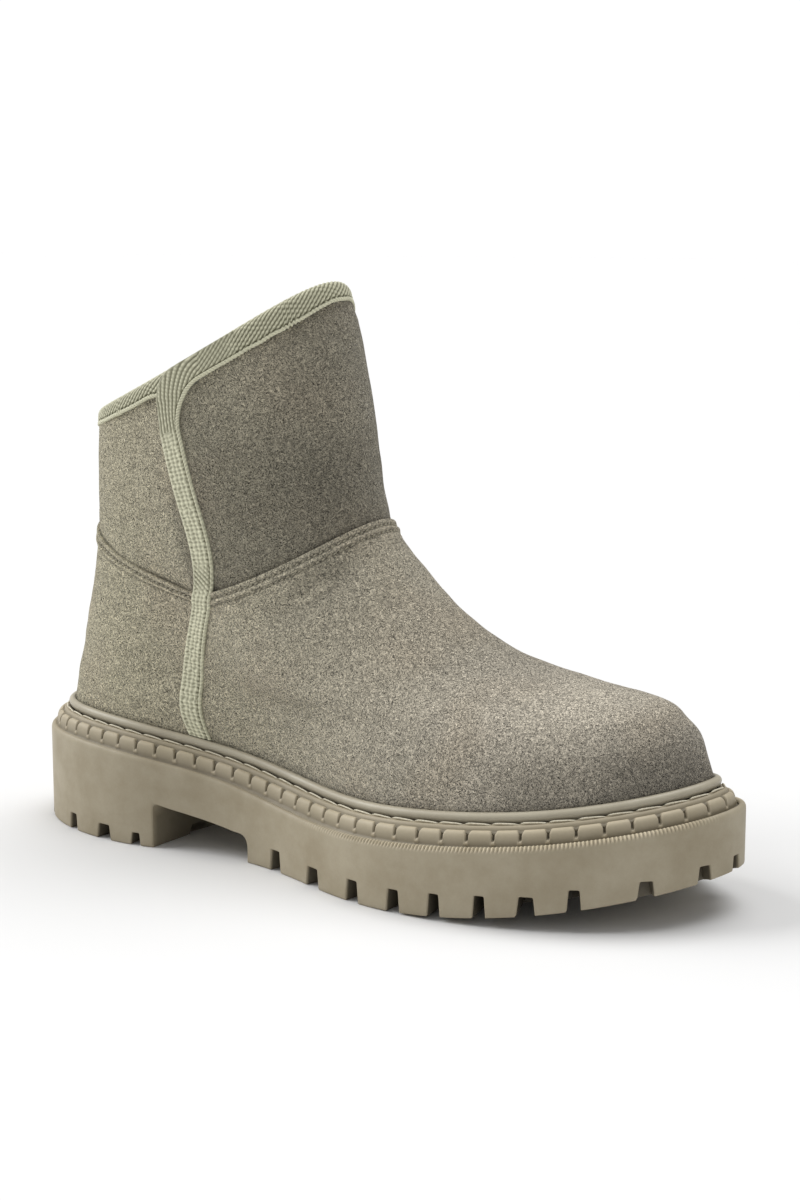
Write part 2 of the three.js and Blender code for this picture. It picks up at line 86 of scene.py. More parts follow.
UPPER = table(
    "up backX backZ frontX frontZ half foot dip sway",
    (0.00, -133.4, 46.1, 132.1, 45.1, 58.3, 1.00, 11.5, 0.5),
    (0.05, -132.6, 51.8, 129.4, 52.6, 57.7, 0.97, 10.9, 0.4),
    (0.10, -131.6, 57.6, 126.8, 59.3, 56.4, 0.92, 10.4, 0.3),
    (0.145, -130.5, 62.7, 121.7, 64.3, 53.9, 0.86, 10.1, 0.2),
    (0.19, -129.3, 67.6, 112.8, 68.9, 50.6, 0.79, 9.8, 0.0),
    (0.24, -128.0, 73.2, 82.0, 73.6, 48.2, 0.70, 9.6, -0.2),
    (0.32, -125.7, 82.7, 52.9, 81.5, 44.9, 0.57, 9.3, -0.5),
    (0.45, -122.7, 97.7, 29.5, 97.5, 40.3, 0.38, 9.2, -0.8),
    (0.58, -120.0, 112.7, 8.6, 118.2, 37.5, 0.22, 9.2, -0.9),
    (0.72, -118.8, 127.6, 1.0, 144.9, 36.6, 0.10, 9.2, -0.9),
    (0.86, -117.8, 142.5, -3.6, 175.5, 35.9, 0.04, 8.7, -0.9),
    (1.00, -116.5, 157.4, -12.2, 207.2, 34.7, 0.00, 7.3, -0.9),
)
SOLE_FADES_AT = 0.22
SEAM_SIDE = 0.502
SEAM_RISE = 0.107
TAPE = table(
    "up x",
    (0.0, -56.2), (0.06, -58.3), (0.15, -59.1), (0.25, -57.6), (0.35, -54.6), (0.44, -50.8), (0.51, -48.0),
    (0.57, -47.4), (0.65, -49.6), (0.75, -54.6), (0.85, -59.4), (1.0, -66.0),
)
FOOT_WALL = 6.0
COLLAR_WALL = 5.0

# ---------------------------------------------------------------- curves and surfaces


def curve(columns, key, name):
    """Natural cubic curve through one column of a table."""
    x, y = columns[key], columns[name]
    n, h = len(x), np.diff(columns[key])
    a, r = np.zeros((n, n)), np.zeros(n)
    a[0, 0] = a[-1, -1] = 1
    for i in range(1, n - 1):
        a[i, i - 1], a[i, i], a[i, i + 1] = h[i - 1], 2 * (h[i - 1] + h[i]), h[i]
        r[i] = 6 * ((y[i + 1] - y[i]) / h[i] - (y[i] - y[i - 1]) / h[i - 1])
    m = np.linalg.solve(a, r)

    def value(v):
        v = np.clip(np.asarray(v, float), x[0], x[-1])
        i = np.clip(np.searchsorted(x, v, side="right") - 1, 0, n - 2)
        p, q, w = x[i + 1] - v, v - x[i], h[i]
        bent = (m[i] * p**3 + m[i + 1] * q**3) / (6 * w)
        return bent + (y[i] / w - m[i] * w / 6) * p + (y[i + 1] / w - m[i + 1] * w / 6) * q

    return value


def curves(columns, key):
    return {name: curve(columns, key, name) for name in columns if name != key}


sole, last, ring = curves(SOLE, "at"), curves(LAST, "at"), curves(UPPER, "up")
tape_x = curve(TAPE, "up", "x")


def mix(a, b, t):
    return a + (b - a) * t


def smooth(low, high, value):
    t = np.clip((value - low) / (high - low), 0, 1)
    return t * t * (3 - 2 * t)


def hump(value, width):
    """1 at zero, falling softly to 0 at about twice the width."""
    return np.exp(-((value / width) ** 2))


def unit(v):
    return v / np.maximum(np.linalg.norm(v, axis=-1, keepdims=True), 1e-12)


def lengthwise(angle):
    return (1 - np.cos(angle)) / 2


def all_round(count):
    return np.arange(count) * TURN / count


def from_heel(angle):
    """Degrees from the heel, 0 to 180 on either side."""
    return np.degrees(np.minimum(angle, TURN - angle))


def side_value(columns, angle):
    at = lengthwise(angle)
    return np.where(np.sin(angle) >= 0, columns["lateral"](at), columns["medial"](at))


def raw_outline(angle):
    at = lengthwise(angle)
    y = TOE_SHIFT * at * at - np.sin(angle) * side_value(sole, angle)
    return np.stack([SOLE_LENGTH * (at - 0.5), y], -1)


sampled = raw_outline(np.linspace(0, TURN, 721))[:, 1]
CENTRING = -(sampled.max() + sampled.min()) / 2


def outline(angle):
    return raw_outline(angle) + np.array([0, CENTRING])


def inward(angle):
    along = unit(outline(angle + STEP) - outline(angle - STEP))
    return np.stack([-along[..., 1], along[..., 0]], -1)


def edge(angle, inset, lift):
    """A point beside the sole's edge: inset from its outline, lifted above its rim."""
    angle, inset, lift = np.broadcast_arrays(angle, inset, lift)
    place = outline(angle)
    plan = place + inward(angle) * inset[..., None]
    rim = sole["rim"](np.clip(place[..., 0] / SOLE_LENGTH + 0.5, 0, 1))
    return np.concatenate([plan, (rim + lift)[..., None]], -1)


def by_upper(angle, out, below):
    """A point beside the sole's edge: out from the upper's face, below the line where they meet."""
    at = lengthwise(angle)
    return edge(angle, sole["ledge"](at) - out, sole["rise"](at) - below)


def tread(x):
    past = np.clip((x - SPRING_FROM_X) / (SOLE_LENGTH / 2 - SPRING_FROM_X), 0, None)
    return TOE_SPRING * past * past


def oval(up, angle):
    at = lengthwise(angle)
    foot = ring["foot"](up)
    share = 1 + foot * (side_value(last, angle) - 1)
    x = mix(ring["backX"](up), ring["frontX"](up), at)
    y = foot * TOE_SHIFT * at * at + CENTRING + ring["sway"](up) - ring["half"](up) * np.sin(angle) * share
    z = mix(ring["backZ"](up), ring["frontZ"](up), at) - ring["dip"](up) * 4 * at * (1 - at)
    return np.stack([x, y, z], -1)


def skin(up, angle):
    """Outer face of the upper."""
    up, angle = np.broadcast_arrays(np.asarray(up, float), np.asarray(angle, float))
    fade = np.clip(1 - up / SOLE_FADES_AT, 0, 1) ** 2
    return oval(up, angle) + fade[..., None] * (by_upper(angle, 0, 0) - oval(0 * up, angle))


def skin_axes(up, angle):
    """Unit vectors on the upper's face: outwards, round it and up it."""
    low, high = np.clip(up - STEP, 0, 1), np.clip(up + STEP, 0, 1)
    around = unit(skin(up, angle + STEP) - skin(up, angle - STEP))
    upward = unit(skin(high, angle) - skin(low, angle))
    return unit(np.cross(around, upward)), around, upward


def off_skin(up, angle, proud):
    up, angle, proud = np.broadcast_arrays(up, angle, proud)
    return skin(up, angle) + skin_axes(up, angle)[0] * proud[..., None]


def tape_angle(up):
    """Angle at which the upper's outer side lies as far forward as the tape's middle."""
    wanted = tape_x(up)
    low, high = 0.0 * wanted, math.pi + 0.0 * wanted
    for _ in range(40):
        middle = (low + high) / 2
        behind = skin(up, middle)[..., 0] < wanted
        low, high = np.where(behind, middle, low), np.where(behind, high, middle)
    return (low + high) / 2


def seam_up(angle):
    return SEAM_SIDE + SEAM_RISE * np.abs(np.cos(angle))


def length_up(low, high, angle):
    """Millimetres along the face for each unit of up, between two heights."""
    return np.linalg.norm(skin(high, angle) - skin(low, angle), axis=-1) / (high - low)


def run_along(points):
    """Length along a chain of points at each of them."""
    return np.concatenate([[0], np.cumsum(np.linalg.norm(np.diff(points, axis=0), axis=-1))])


def run_round(line, samples):
    """Evenly spread angles round a closed line, and the length along it at each."""
    angle = np.linspace(0, TURN, samples + 1)
    return angle, run_along(line(angle))


def evenly_round(line, count, samples=5760):
    """Angles of points spaced evenly along a closed line, the length at each, and the whole length."""
    angle, run = run_round(line, samples)
    wanted = np.arange(count) * run[-1] / count
    return np.interp(wanted, run, angle), wanted, run[-1]


def waves(points, size, seed, count=28):
    """Smooth random field, about -1 to 1, with humps of about the given size in millimetres."""
    draw = np.random.default_rng(seed)
    direction = unit(draw.normal(size=(count, 3)))
    pitch = TURN / (size * draw.uniform(0.75, 1.35, count))
    phase = draw.uniform(0, TURN, count)
    flat = points.reshape(-1, 3)
    total = np.zeros(len(flat))
    for d, k, p in zip(direction, pitch, phase):
        total += np.cos(flat @ (d * k) + p)
    return (total * math.sqrt(2 / count) / 1.6).reshape(points.shape[:-1])


# ---------------------------------------------------------------- meshes


def grid_faces(rows, columns, closed=False):
    """Quads between loops of points, and from the last loop back to the first in a closed chain."""
    r = np.arange(rows if closed else rows - 1)[:, None]
    c = np.arange(columns)[None, :]
    r2, c2 = (r + 1) % rows, (c + 1) % columns
    corners = [r * columns + c, r * columns + c2, r2 * columns + c2, r2 * columns + c]
    return np.stack(np.broadcast_arrays(*corners), -1).reshape(-1, 4)


def outward(points, faces):
    """The faces, turned round if the closed mesh they make is inside out."""
    a, b, c, d = (points[faces[:, i]] for i in range(4))
    volume = np.einsum("ij,ij->", a, np.cross(b, c)) + np.einsum("ij,ij->", a, np.cross(c, d))
    return faces if volume > 0 else faces[:, ::-1]


@contextmanager
def editing(mesh):
    """The mesh opened for editing, written back at the end."""
    bm = bmesh.new()
    bm.from_mesh(mesh)
    yield bm
    bm.to_mesh(mesh)
    bm.free()


def new_mesh(name, points, faces):
    """A mesh in metres from points in millimetres."""
    mesh = bpy.data.meshes.new(name)
    mesh.from_pydata((points.reshape(-1, 3) * MM).tolist(), [], faces)
    return mesh


def store(mesh, name, values):
    """Keeps one number for each point, for the materials to read."""
    layer = mesh.attributes.new(name, "FLOAT", "POINT")
    layer.data.foreach_set("value", np.ascontiguousarray(values, np.float32).ravel())


def add_object(name, data):
    obj = bpy.data.objects.new(name, data)
    bpy.context.scene.collection.objects.link(obj)
    return obj


def show(name, mesh, material, replaced=(), crisp=None):
    """A visible piece, riding on the body of the boot. Edges bent more than crisp degrees stay sharp."""
    mesh.shade_smooth()
    if crisp:
        mesh.set_sharp_from_angle(angle=math.radians(crisp))
    mesh.materials.clear()
    mesh.materials.append(material)
    obj = add_object(name, mesh)
    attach(obj, "root")
    if replaced:
        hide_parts(*replaced)
    return obj


def ring_piece(name, loops, material, replaced, values, crisp=None):
    """A hollow ring from a closed chain of loops."""
    loops = np.array(loops)
    points = loops.reshape(-1, 3)
    faces = outward(points, grid_faces(*loops.shape[:2], closed=True))
    mesh = new_mesh(name, points, faces.tolist())
    for key, value in values.items():
        store(mesh, key, value)
    return show(name, mesh, material, replaced, crisp)


# ---------------------------------------------------------------- materials


def srgb(red, green, blue):
    linear = [v / 12.92 if v <= 0.04045 else ((v + 0.055) / 1.055) ** 2.4
              for v in (red / 255, green / 255, blue / 255)]
    return (*linear, 1)


class Finish:
    """A procedural material under construction."""

    def __init__(self, name, **settings):
        self.material = bpy.data.materials.new(name)
        self.material.use_nodes = True
        self.tree = self.material.node_tree
        self.shader = self.tree.nodes["Principled BSDF"]
        for key, value in settings.items():
            self.shader.inputs[key.replace("_", " ")].default_value = value
        self.place = self.add("ShaderNodeTexCoord", "Object", {})

    def feed(self, socket, value):
        if isinstance(value, bpy.types.NodeSocket):
            self.tree.links.new(value, socket)
        else:
            socket.default_value = value

    def add(self, kind, output, inputs, **settings):
        """One output of a new node with the given inputs and settings."""
        node = self.tree.nodes.new(kind)
        for key, value in settings.items():
            setattr(node, key, value)
        for key, value in inputs.items():
            self.feed(node.inputs[key], value)
        return node.outputs[output]

    def noise(self, size, detail=2.0, rough=0.5, warp=0.0):
        """Noise with features of about the given size in millimetres."""
        return self.add("ShaderNodeTexNoise", "Fac", {
            "Vector": self.place, "Scale": 1 / (size * MM), "Detail": detail, "Roughness": rough,
            "Distortion": warp})

    def lengthwise(self):
        """Place from heel to toe in metres."""
        return self.add("ShaderNodeSeparateXYZ", "X", {0: self.place})

    def value(self, name):
        """A number stored at the points of the mesh."""
        return self.add("ShaderNodeAttribute", "Fac", {}, attribute_name=name)

    def ranged(self, fac, from_low, from_high, to_low, to_high, clamp=True):
        limits = {"From Min": from_low, "From Max": from_high, "To Min": to_low, "To Max": to_high}
        return self.add("ShaderNodeMapRange", "Result", {"Value": fac, **limits}, clamp=clamp)

    def math(self, operation, a, b):
        return self.add("ShaderNodeMath", "Value", {0: a, 1: b}, operation=operation)

    def blend(self, fac, a, b):
        """Colour a where the factor is 0, b where it is 1."""
        return self.add("ShaderNodeMix", 2, {"Factor": fac, 6: a, 7: b}, data_type="RGBA")

    def scaled(self, color, factor):
        return self.add("ShaderNodeVectorMath", "Vector", {0: color, "Scale": factor}, operation="SCALE")

    def bump(self, height, depth, under=None):
        """Small relief, its depth in millimetres, over a coarser one."""
        inputs = {"Height": height, "Distance": depth * MM}
        if under is not None:
            inputs["Normal"] = under
        return self.add("ShaderNodeBump", "Normal", inputs)

    def done(self, color, normal=None, roughness=None):
        self.feed(self.shader.inputs["Base Color"], color)
        if normal is not None:
            self.feed(self.shader.inputs["Normal"], normal)
        if roughness is not None:
            self.feed(self.shader.inputs["Roughness"], roughness)
        return self.material


def suede_finish():
    """Nap with fine curved wrinkles, a little warmer at the back and in soft patches."""
    f = Finish("suede", Roughness=0.95, Specular_IOR_Level=0.12, Sheen_Weight=0.2, Sheen_Roughness=0.5)
    nap = f.noise(0.62, detail=1, rough=0.5, warp=1.0)
    wrinkle = f.math("ABSOLUTE", f.math("SUBTRACT", f.noise(1.25, detail=1, warp=1.5), 0.5), 0.0)
    patch = f.noise(45, detail=1)
    forward = f.ranged(f.lengthwise(), -0.09, 0.07, 0, 1)
    color = f.blend(forward, srgb(204, 196, 168), srgb(205, 196, 178))
    brown = f.ranged(f.noise(35, detail=1), 0.5, 0.75, 0, 0.4)
    color = f.blend(brown, color, srgb(204, 189, 164))
    # Painted light and shade on the wrinkles, partly the suede's own grain: their raised lines painted
    # lighter, the ground between them darker.
    light = f.ranged(wrinkle, 0.0, 0.13, 1.24, 0.74)
    fine = f.math("MULTIPLY", light, f.ranged(nap, 0.3, 0.7, 0.62, 1.38))
    # The stored values hold painted shade and painted light besides the suede's own tones.
    broad = f.math("MULTIPLY", f.ranged(patch, 0.3, 0.7, 0.95, 1.05), f.value("tone"))
    color = f.scaled(color, f.math("MULTIPLY", fine, broad))
    return f.done(color, f.bump(wrinkle, -1.8, f.bump(nap, 1.2)))


def webbing_finish():
    """Cotton webbing, painted dark between its ribs and light on their tops: painted shade and light from the
    stored rib height.
    """
    f = Finish("webbing", Roughness=0.85, Specular_IOR_Level=0.2, Sheen_Weight=0.15, Sheen_Roughness=0.5)
    yarn = f.noise(0.5, detail=2)
    # Painted shade and light: dark in the valleys between ribs, light on their tops and on folded edges.
    color = f.blend(f.value("rib_height_and_shade"), srgb(104, 102, 80), srgb(226, 224, 196))
    color = f.scaled(color, f.ranged(yarn, 0.25, 0.75, 0.88, 1.12))
    return f.done(color, f.bump(yarn, 0.1))


def thread_finish(name, dark, light):
    f = Finish(name, Roughness=0.7, Specular_IOR_Level=0.3, Sheen_Weight=0.1)
    yarn = f.noise(0.5, detail=2)
    color = f.blend(f.ranged(yarn, 0.3, 0.7, 0, 1), dark, light)
    return f.done(color, f.bump(yarn, 0.08))


def rubber_finish(name, color, dark, rough):
    """Moulded rubber, faintly mottled, with painted shade in its grooves and hollows, and painted highlights
    where the stored value falls below zero.
    """
    f = Finish(name, Specular_IOR_Level=0.35)
    smudge = f.noise(16, detail=4, rough=0.6)
    grain = f.noise(0.7, detail=2)
    mixed = f.blend(f.ranged(smudge, 0.35, 0.7, 0, 1), color, dark)
    painted_shade_factor = f.ranged(f.value("painted_shading"), 0, 1, 1, 0.22, clamp=False)
    shade = f.math("MULTIPLY", f.ranged(grain, 0.2, 0.8, 0.97, 1.03), painted_shade_factor)
    mixed = f.scaled(mixed, shade)
    normal = f.bump(grain, 0.03, f.bump(f.noise(7, detail=1), 0.1))
    return f.done(mixed, normal, f.ranged(smudge, 0.3, 0.7, rough, rough + 0.12))


def fleece_finish():
    """Curly fleece, with painted shade in its valleys."""
    f = Finish("fleece", Roughness=1.0, Specular_IOR_Level=0.1, Sheen_Weight=0.5, Sheen_Roughness=0.6)
    curl = f.noise(1.1, detail=4, rough=0.65, warp=1.5)
    color = f.blend(f.ranged(curl, 0.3, 0.7, 0, 1), srgb(188, 176, 150), srgb(233, 224, 203))
    color = f.scaled(color, f.value("tuft"))
    return f.done(color, f.bump(curl, 0.7))


suede = suede_finish()
webbing = webbing_finish()
welt_thread = thread_finish("welt_thread", srgb(196, 188, 166), srgb(228, 221, 200))
seam_thread = thread_finish("seam_thread", srgb(146, 140, 121), srgb(184, 177, 156))
sole_rubber = rubber_finish("sole_rubber", srgb(170, 160, 138), srgb(155, 144, 121), 0.5)
band_rubber = rubber_finish("band_rubber", srgb(176, 165, 142), srgb(168, 157, 133), 0.5)
welt_rubber = rubber_finish("welt_rubber", srgb(176, 169, 150), srgb(166, 158, 139), 0.34)
fleece = fleece_finish()

# ---------------------------------------------------------------- unit sole

BREAST_X = -69.2
FOREPART_X = -28.5
ARCH_BACK_Z = 17.0
ARCH_FRONT_Z = 10.3
ARCH_CORNER = 5.0
LUG_GAP_TAPER = 0.78
LUG_GAPS = table(
    "angle width height depth",
    (23.5, 4.0, 3.0, 8), (39.5, 5.2, 6.3, 9), (50.0, 7.0, 5.8, 9), (57.6, 4.2, 4.8, 8), (84.6, 5.8, 7.8, 20),
    (93.3, 7.4, 7.0, 20), (101.8, 5.8, 7.8, 20), (109.3, 5.2, 7.9, 20), (116.1, 4.6, 8.0, 20),
    (123.4, 4.4, 7.7, 20), (130.9, 6.2, 6.6, 20), (138.9, 4.6, 7.2, 20), (152.3, 5.8, 5.8, 5),
    (166.6, 5.6, 5.7, 5), (178.7, 4.4, 5.2, 5),
)
LAST_MIRRORED_GAP = 175
LAST_GROOVE = 145
SOFT_EDGE = 0.35  # width of the rounding where a gap meets the wall
MOUTH = ((-3, 3 + SOFT_EDGE), (0, SOFT_EDGE), (SOFT_EDGE, 0))  # how far into the wall, and the flare there
LONGEST_EDGE = 3.5
ARCH_SHADE_SHARE = 0.6  # share of the painted shade kept in the open arch, beside the narrow gaps


def solid_mesh(name, loops):
    """Closed mesh from an open chain of loops; the first and last loops are closed by flat polygons."""
    loops = np.array(loops)
    rows, columns = loops.shape[:2]
    ends = [list(range(columns))[::-1], list(range((rows - 1) * columns, rows * columns))]
    mesh = new_mesh(name, loops, grid_faces(rows, columns).tolist() + ends)
    with editing(mesh) as bm:
        bmesh.ops.triangulate(bm, faces=[face for face in bm.faces if len(face.verts) > 4])
        bmesh.ops.recalc_face_normals(bm, faces=bm.faces)
    return mesh


def gap_cutter(angle, width, height, depth):
    """A slot that narrows upwards, flared where it meets the wall and the tread."""
    place = outline(angle)
    into = np.append(inward(angle), 0)
    sideways = np.cross([0, 0, 1], into)
    base = np.array([*place, tread(place[0])])
    half, top = width / 2, width / 2 * LUG_GAP_TAPER
    rise = [-3, 0, SOFT_EDGE, height - 0.6, height - 0.15, height]
    half_at = [half + 2 * SOFT_EDGE, half + SOFT_EDGE, half, top, top - 0.15, top - 0.6]
    loops = []
    for into_wall, flare in (*MOUTH, (1.3, 0), (depth, 0)):
        middle = base + into * into_wall
        right, left = ([middle + side * sideways * (h + flare) + [0, 0, z + (flare if z > 1 else 0)]
                        for z, h in zip(rise, half_at)] for side in (1, -1))
        loops.append(right + left[::-1])
    return solid_mesh("gap", loops)


def arch_cutter():
    """The open arch between the heel block and the forepart."""
    corner = ARCH_CORNER
    ease = np.linspace(0, 1, 7)[:, None]

    def bent(a, b, c):
        a, b, c = np.array(a), np.array(b), np.array(c)
        return (1 - ease) ** 2 * a + 2 * ease * (1 - ease) * b + ease**2 * c

    back = bent((BREAST_X, ARCH_BACK_Z - corner / 2), (BREAST_X, ARCH_BACK_Z),
                (BREAST_X + corner / 2, ARCH_BACK_Z - 0.6))
    front = bent((FOREPART_X - corner, ARCH_FRONT_Z), (FOREPART_X, ARCH_FRONT_Z),
                 (FOREPART_X, ARCH_FRONT_Z - corner))
    profile = np.concatenate([
        [(BREAST_X - 3 - SOFT_EDGE, -3), (BREAST_X - SOFT_EDGE, 0), (BREAST_X, SOFT_EDGE)], back, front,
        [(FOREPART_X, SOFT_EDGE), (FOREPART_X + SOFT_EDGE, 0), (FOREPART_X + 3 + SOFT_EDGE, -3)]])
    x, z = profile.T
    angle = np.arccos(1 - 2 * (x / SOLE_LENGTH + 0.5))
    outer, inner = outline(angle)[:, 1], outline(TURN - angle)[:, 1]
    middle = (BREAST_X + FOREPART_X) / 2
    loops = []
    for side, sign, mouth in ((outer, 1, MOUTH), (inner, -1, MOUTH[::-1])):
        for depth, flare in mouth:
            loops.append(np.stack([x + np.sign(x - middle) * flare, side + sign * depth,
                                   z + np.where(z > 1, flare, 0)], -1))
    return solid_mesh("arch", loops)


def groove_cutter(angle, start_depth, width=3.4, depth=3.6, bow=9.0):
    """A shallow tread groove that joins the gaps of the two sides in a bow."""
    start = outline(angle) + inward(angle) * (start_depth - 1)
    end = outline(TURN - angle) + inward(TURN - angle) * (start_depth - 1)
    t = np.linspace(0, 1, 15)
    line = mix(start, end, t[:, None])
    line[:, 0] += bow * (1 - (2 * t - 1) ** 2)
    along = unit(np.gradient(line, axis=0))
    across = np.stack([-along[:, 1], along[:, 0]], -1)
    half = width / 2
    section = [(-half - 2, -2), (-half, 0), (-half * 0.7, depth),
               (half * 0.7, depth), (half, 0), (half + 2, -2)]
    loops = [[(*(p + n * s), z + h) for s, h in section] for p, n, z in zip(line, across, tread(line[:, 0]))]
    return solid_mesh("groove", loops)


def cut(mesh, cutters):
    """The mesh with all the cutters taken away."""
    body = add_object("body", mesh)
    for cutter in cutters:
        tool = add_object(cutter.name, cutter)
        modifier = body.modifiers.new(cutter.name, "BOOLEAN")
        modifier.operation, modifier.solver, modifier.object = "DIFFERENCE", "MANIFOLD", tool
    bpy.context.view_layer.update()
    result = bpy.data.meshes.new_from_object(body.evaluated_get(bpy.context.evaluated_depsgraph_get()))
    for tool in [modifier.object for modifier in body.modifiers]:
        bpy.data.objects.remove(tool)
    bpy.data.objects.remove(body)
    return result


def paint_hollow_shade(mesh):
    """Splits long edges, then stores painted shade for each point of the wall: more the further inside a gap
    or the arch it lies, less on faces turned down.
    """
    with editing(mesh) as bm:
        for _ in range(3):
            long_edges = [e for e in bm.edges if e.calc_length() > LONGEST_EDGE * MM]
            bmesh.ops.subdivide_edges(bm, edges=long_edges, cuts=1)
            bmesh.ops.triangulate(bm, faces=[face for face in bm.faces if len(face.verts) > 3])
        bm.normal_update()
        place = np.array([v.co for v in bm.verts]) / MM
        faces_down = np.array([-v.normal.z for v in bm.verts])
    rim = outline(np.linspace(0, TURN, 1441)[:-1])
    inside = np.concatenate([np.min(np.linalg.norm(part[:, None, :2] - rim[None], axis=-1), axis=1)
                             for part in np.array_split(place, max(1, len(place) // 2000))])
    painted_shading = 0.85 * smooth(0.3, 1.3, inside) + 0.15 * smooth(3.0, 16.0, inside)
    painted_shading *= 1 - 0.7 * smooth(0.6, 0.95, faces_down)
    painted_shading *= np.where((place[:, 0] > BREAST_X - 1) & (place[:, 0] < FOREPART_X + 1), ARCH_SHADE_SHARE, 1)
    store(mesh, "painted_shading", painted_shading)


def build_outsole():
    """Unit sole with its arch, lug gaps and tread grooves."""
    angle = all_round(720)
    place = outline(angle)
    floor = tread(place[:, 0])
    rim = edge(angle, 0, 0)[:, 2]

    def at(inset, z):
        plan = place + inward(angle) * inset
        return np.concatenate([plan, z[:, None]], -1)

    loops = [at(inset, floor + lift) for inset, lift in ((1.0, 0), (0.4, 0.12), (0.1, 0.45), (0, 1.0))]
    loops += [at(0, mix(floor + 1, rim - 1.5, share)) for share in (0.25, 0.5, 0.75, 1.0)]
    loops += [at(inset, rim + lift) for inset, lift in ((1.0, -1.4), (1.5, -0.6), (2.6, -0.1), (6, 0.3))]
    loops = np.array(loops)
    count = len(angle)
    faces = grid_faces(len(loops), count).tolist()
    for first, turned in ((0, False), ((len(loops) - 1) * count, True)):
        for j in range(count // 2):
            near, far = (j, (count - j) % count), (j + 1, count - j - 1)
            strip = list(dict.fromkeys([near[0], near[1], far[1], far[0]]))
            strip = [first + k for k in strip]
            faces.append(strip[::-1] if turned else strip)
    mesh = new_mesh("outsole", loops, faces)
    with editing(mesh) as bm:
        bmesh.ops.recalc_face_normals(bm, faces=bm.faces)
        bmesh.ops.triangulate(bm, faces=bm.faces)
    cutters = [arch_cutter()]
    for degrees, width, height, depth in zip(*LUG_GAPS.values()):
        turn = math.radians(degrees)
        cutters.append(gap_cutter(turn, width, height, depth))
        if degrees < LAST_MIRRORED_GAP:
            cutters.append(gap_cutter(TURN - turn, width, height, depth))
        if degrees < LAST_GROOVE:
            cutters.append(groove_cutter(turn, depth))
    lugged = cut(mesh, cutters)
    paint_hollow_shade(lugged)
    return show("outsole_lugged", lugged, sole_rubber, ("outsole",), crisp=32)


# ---------------------------------------------------------------- rim, bead band and welt

TOE_STRETCH = 0.07  # how much longer the pitch of beads and stitches is at the toe than on average
TOOTH_PITCH = 1.36
TOOTH_INSET = 0.5
TOOTH_DROP = 0.45
# milled: how much of the milling shows here.
RIM_SECTION = table(
    "inset lift milled",
    (0.02, -1.6, 0), (0.0, -1.1, 0), (0.02, -0.5, 0.05), (0.12, 0.1, 0.6), (0.35, 0.65, 1), (0.7, 1.02, 1),
    (1.15, 1.22, 1), (1.6, 1.25, 0.9), (2.0, 1.1, 0.6), (2.35, 0.75, 0.3), (2.5, 0.4, 0), (2.2, -0.1, 0),
    (0.9, -1.4, 0),
)
BEADS = 75
BEAD_PHASE = 0.1
SLOT_DEPTH = 1.5
SLOT_HALF = 0.46
SLOT_FLARE = 0.5
FLARE_BELOW, FLARE_ABOVE = 5.9, 4.8
BALL_BELOW = 8.75
BALL_RADIUS = 0.95
BEAD_DIVISION = np.array([0, 0.2, 0.4, 0.6, 0.85, 1.15, 1.55, 2.1, 2.9, 3.7])
# bead: how much of the slot between two beads shows here. dark: painted shade, how much darker this place is
# painted for lying far down in a groove; below zero, a painted highlight, as on the tops of the beads.
BAND_SECTION = table(
    "out below bead dark",
    (0.6, 4.6, 0, 1), (2.3, 3.55, 0, 0.5), (2.6, 3.4, 0, 0.25), (2.9, 3.5, 0, 0.2), (3.3, 3.6, 0, 0.15),
    (3.7, 3.65, 0, 0.1), (4.1, 3.85, 0, 0.1), (4.4, 4.25, 0, 0.2), (4.65, 4.8, 0, 0.35),
    (4.75, 5.15, 0, 0.55), (4.9, 5.2, 0.3, 0.45), (5.0, 5.0, 0.8, 0.05), (5.2, 4.8, 1, -0.12),
    (5.6, 4.8, 1, -0.2), (6.05, 5.0, 1, -0.2), (6.5, 5.4, 1, -0.1), (6.85, 6.0, 1, 0.03),
    (7.1, 6.75, 1, 0.12), (7.25, 7.5, 1, 0.2), (7.32, 8.2, 1, 0.28), (7.36, 8.85, 0.9, 0.36),
    (7.4, 9.35, 0.6, 0.45), (7.5, 9.8, 0.2, 0.55), (7.85, 10.1, 0, 0.5), (8.3, 10.3, 0, 0.4),
    (8.6, 10.9, 0, 0.4), (7.6, 11.2, 0, 1), (2.0, 10.6, 0, 1),
)
# dark: painted shade on the hidden inner part and the lower side of the roll; below zero, a painted highlight
# along its top.
WELT_SECTION = table(
    "out below dark",
    (0.0, 4.2, 1), (0.0, 1.2, 1), (0.12, 0.35, 0.5), (0.45, -0.08, 0.1), (0.9, -0.2, 0), (1.4, -0.1, -0.08),
    (1.85, 0.1, -0.15), (2.2, 0.4, -0.1), (2.47, 0.78, -0.03), (2.62, 1.15, 0.03), (2.64, 1.5, 0.1),
    (2.56, 1.9, 0.1), (2.35, 2.35, 0.2), (2.0, 3.2, 0.6), (1.0, 4.3, 1),
)
WELT_STITCHES = 70
WELT_STITCH_PHASE = 0.7


def build_rim():
    """Rounded rim on the sole's upper edge, finely milled round the forefoot."""
    angle, run, whole = evenly_round(outline, 2880)
    teeth = round(whole / TOOTH_PITCH)
    wave = 0.5 + 0.5 * np.cos(TURN * run / whole * teeth)
    turn = from_heel(angle)
    forefoot = smooth(88, 104, turn) * (1 - smooth(160, 174, turn))
    loops, painted_shading = [], []
    for inset, lift, milled in zip(*RIM_SECTION.values()):
        notch = forefoot * wave * milled
        loops.append(edge(angle, inset + TOOTH_INSET * notch, lift - TOOTH_DROP * notch))
        # Painted shade in the milling notches and painted highlights on the teeth.
        painted_shading.append(0.35 * notch - 0.8 * forefoot * (1 - wave) * milled)
    return ring_piece("outsole_rim", loops, sole_rubber, ("outsole",), {"painted_shading": painted_shading}, 40)


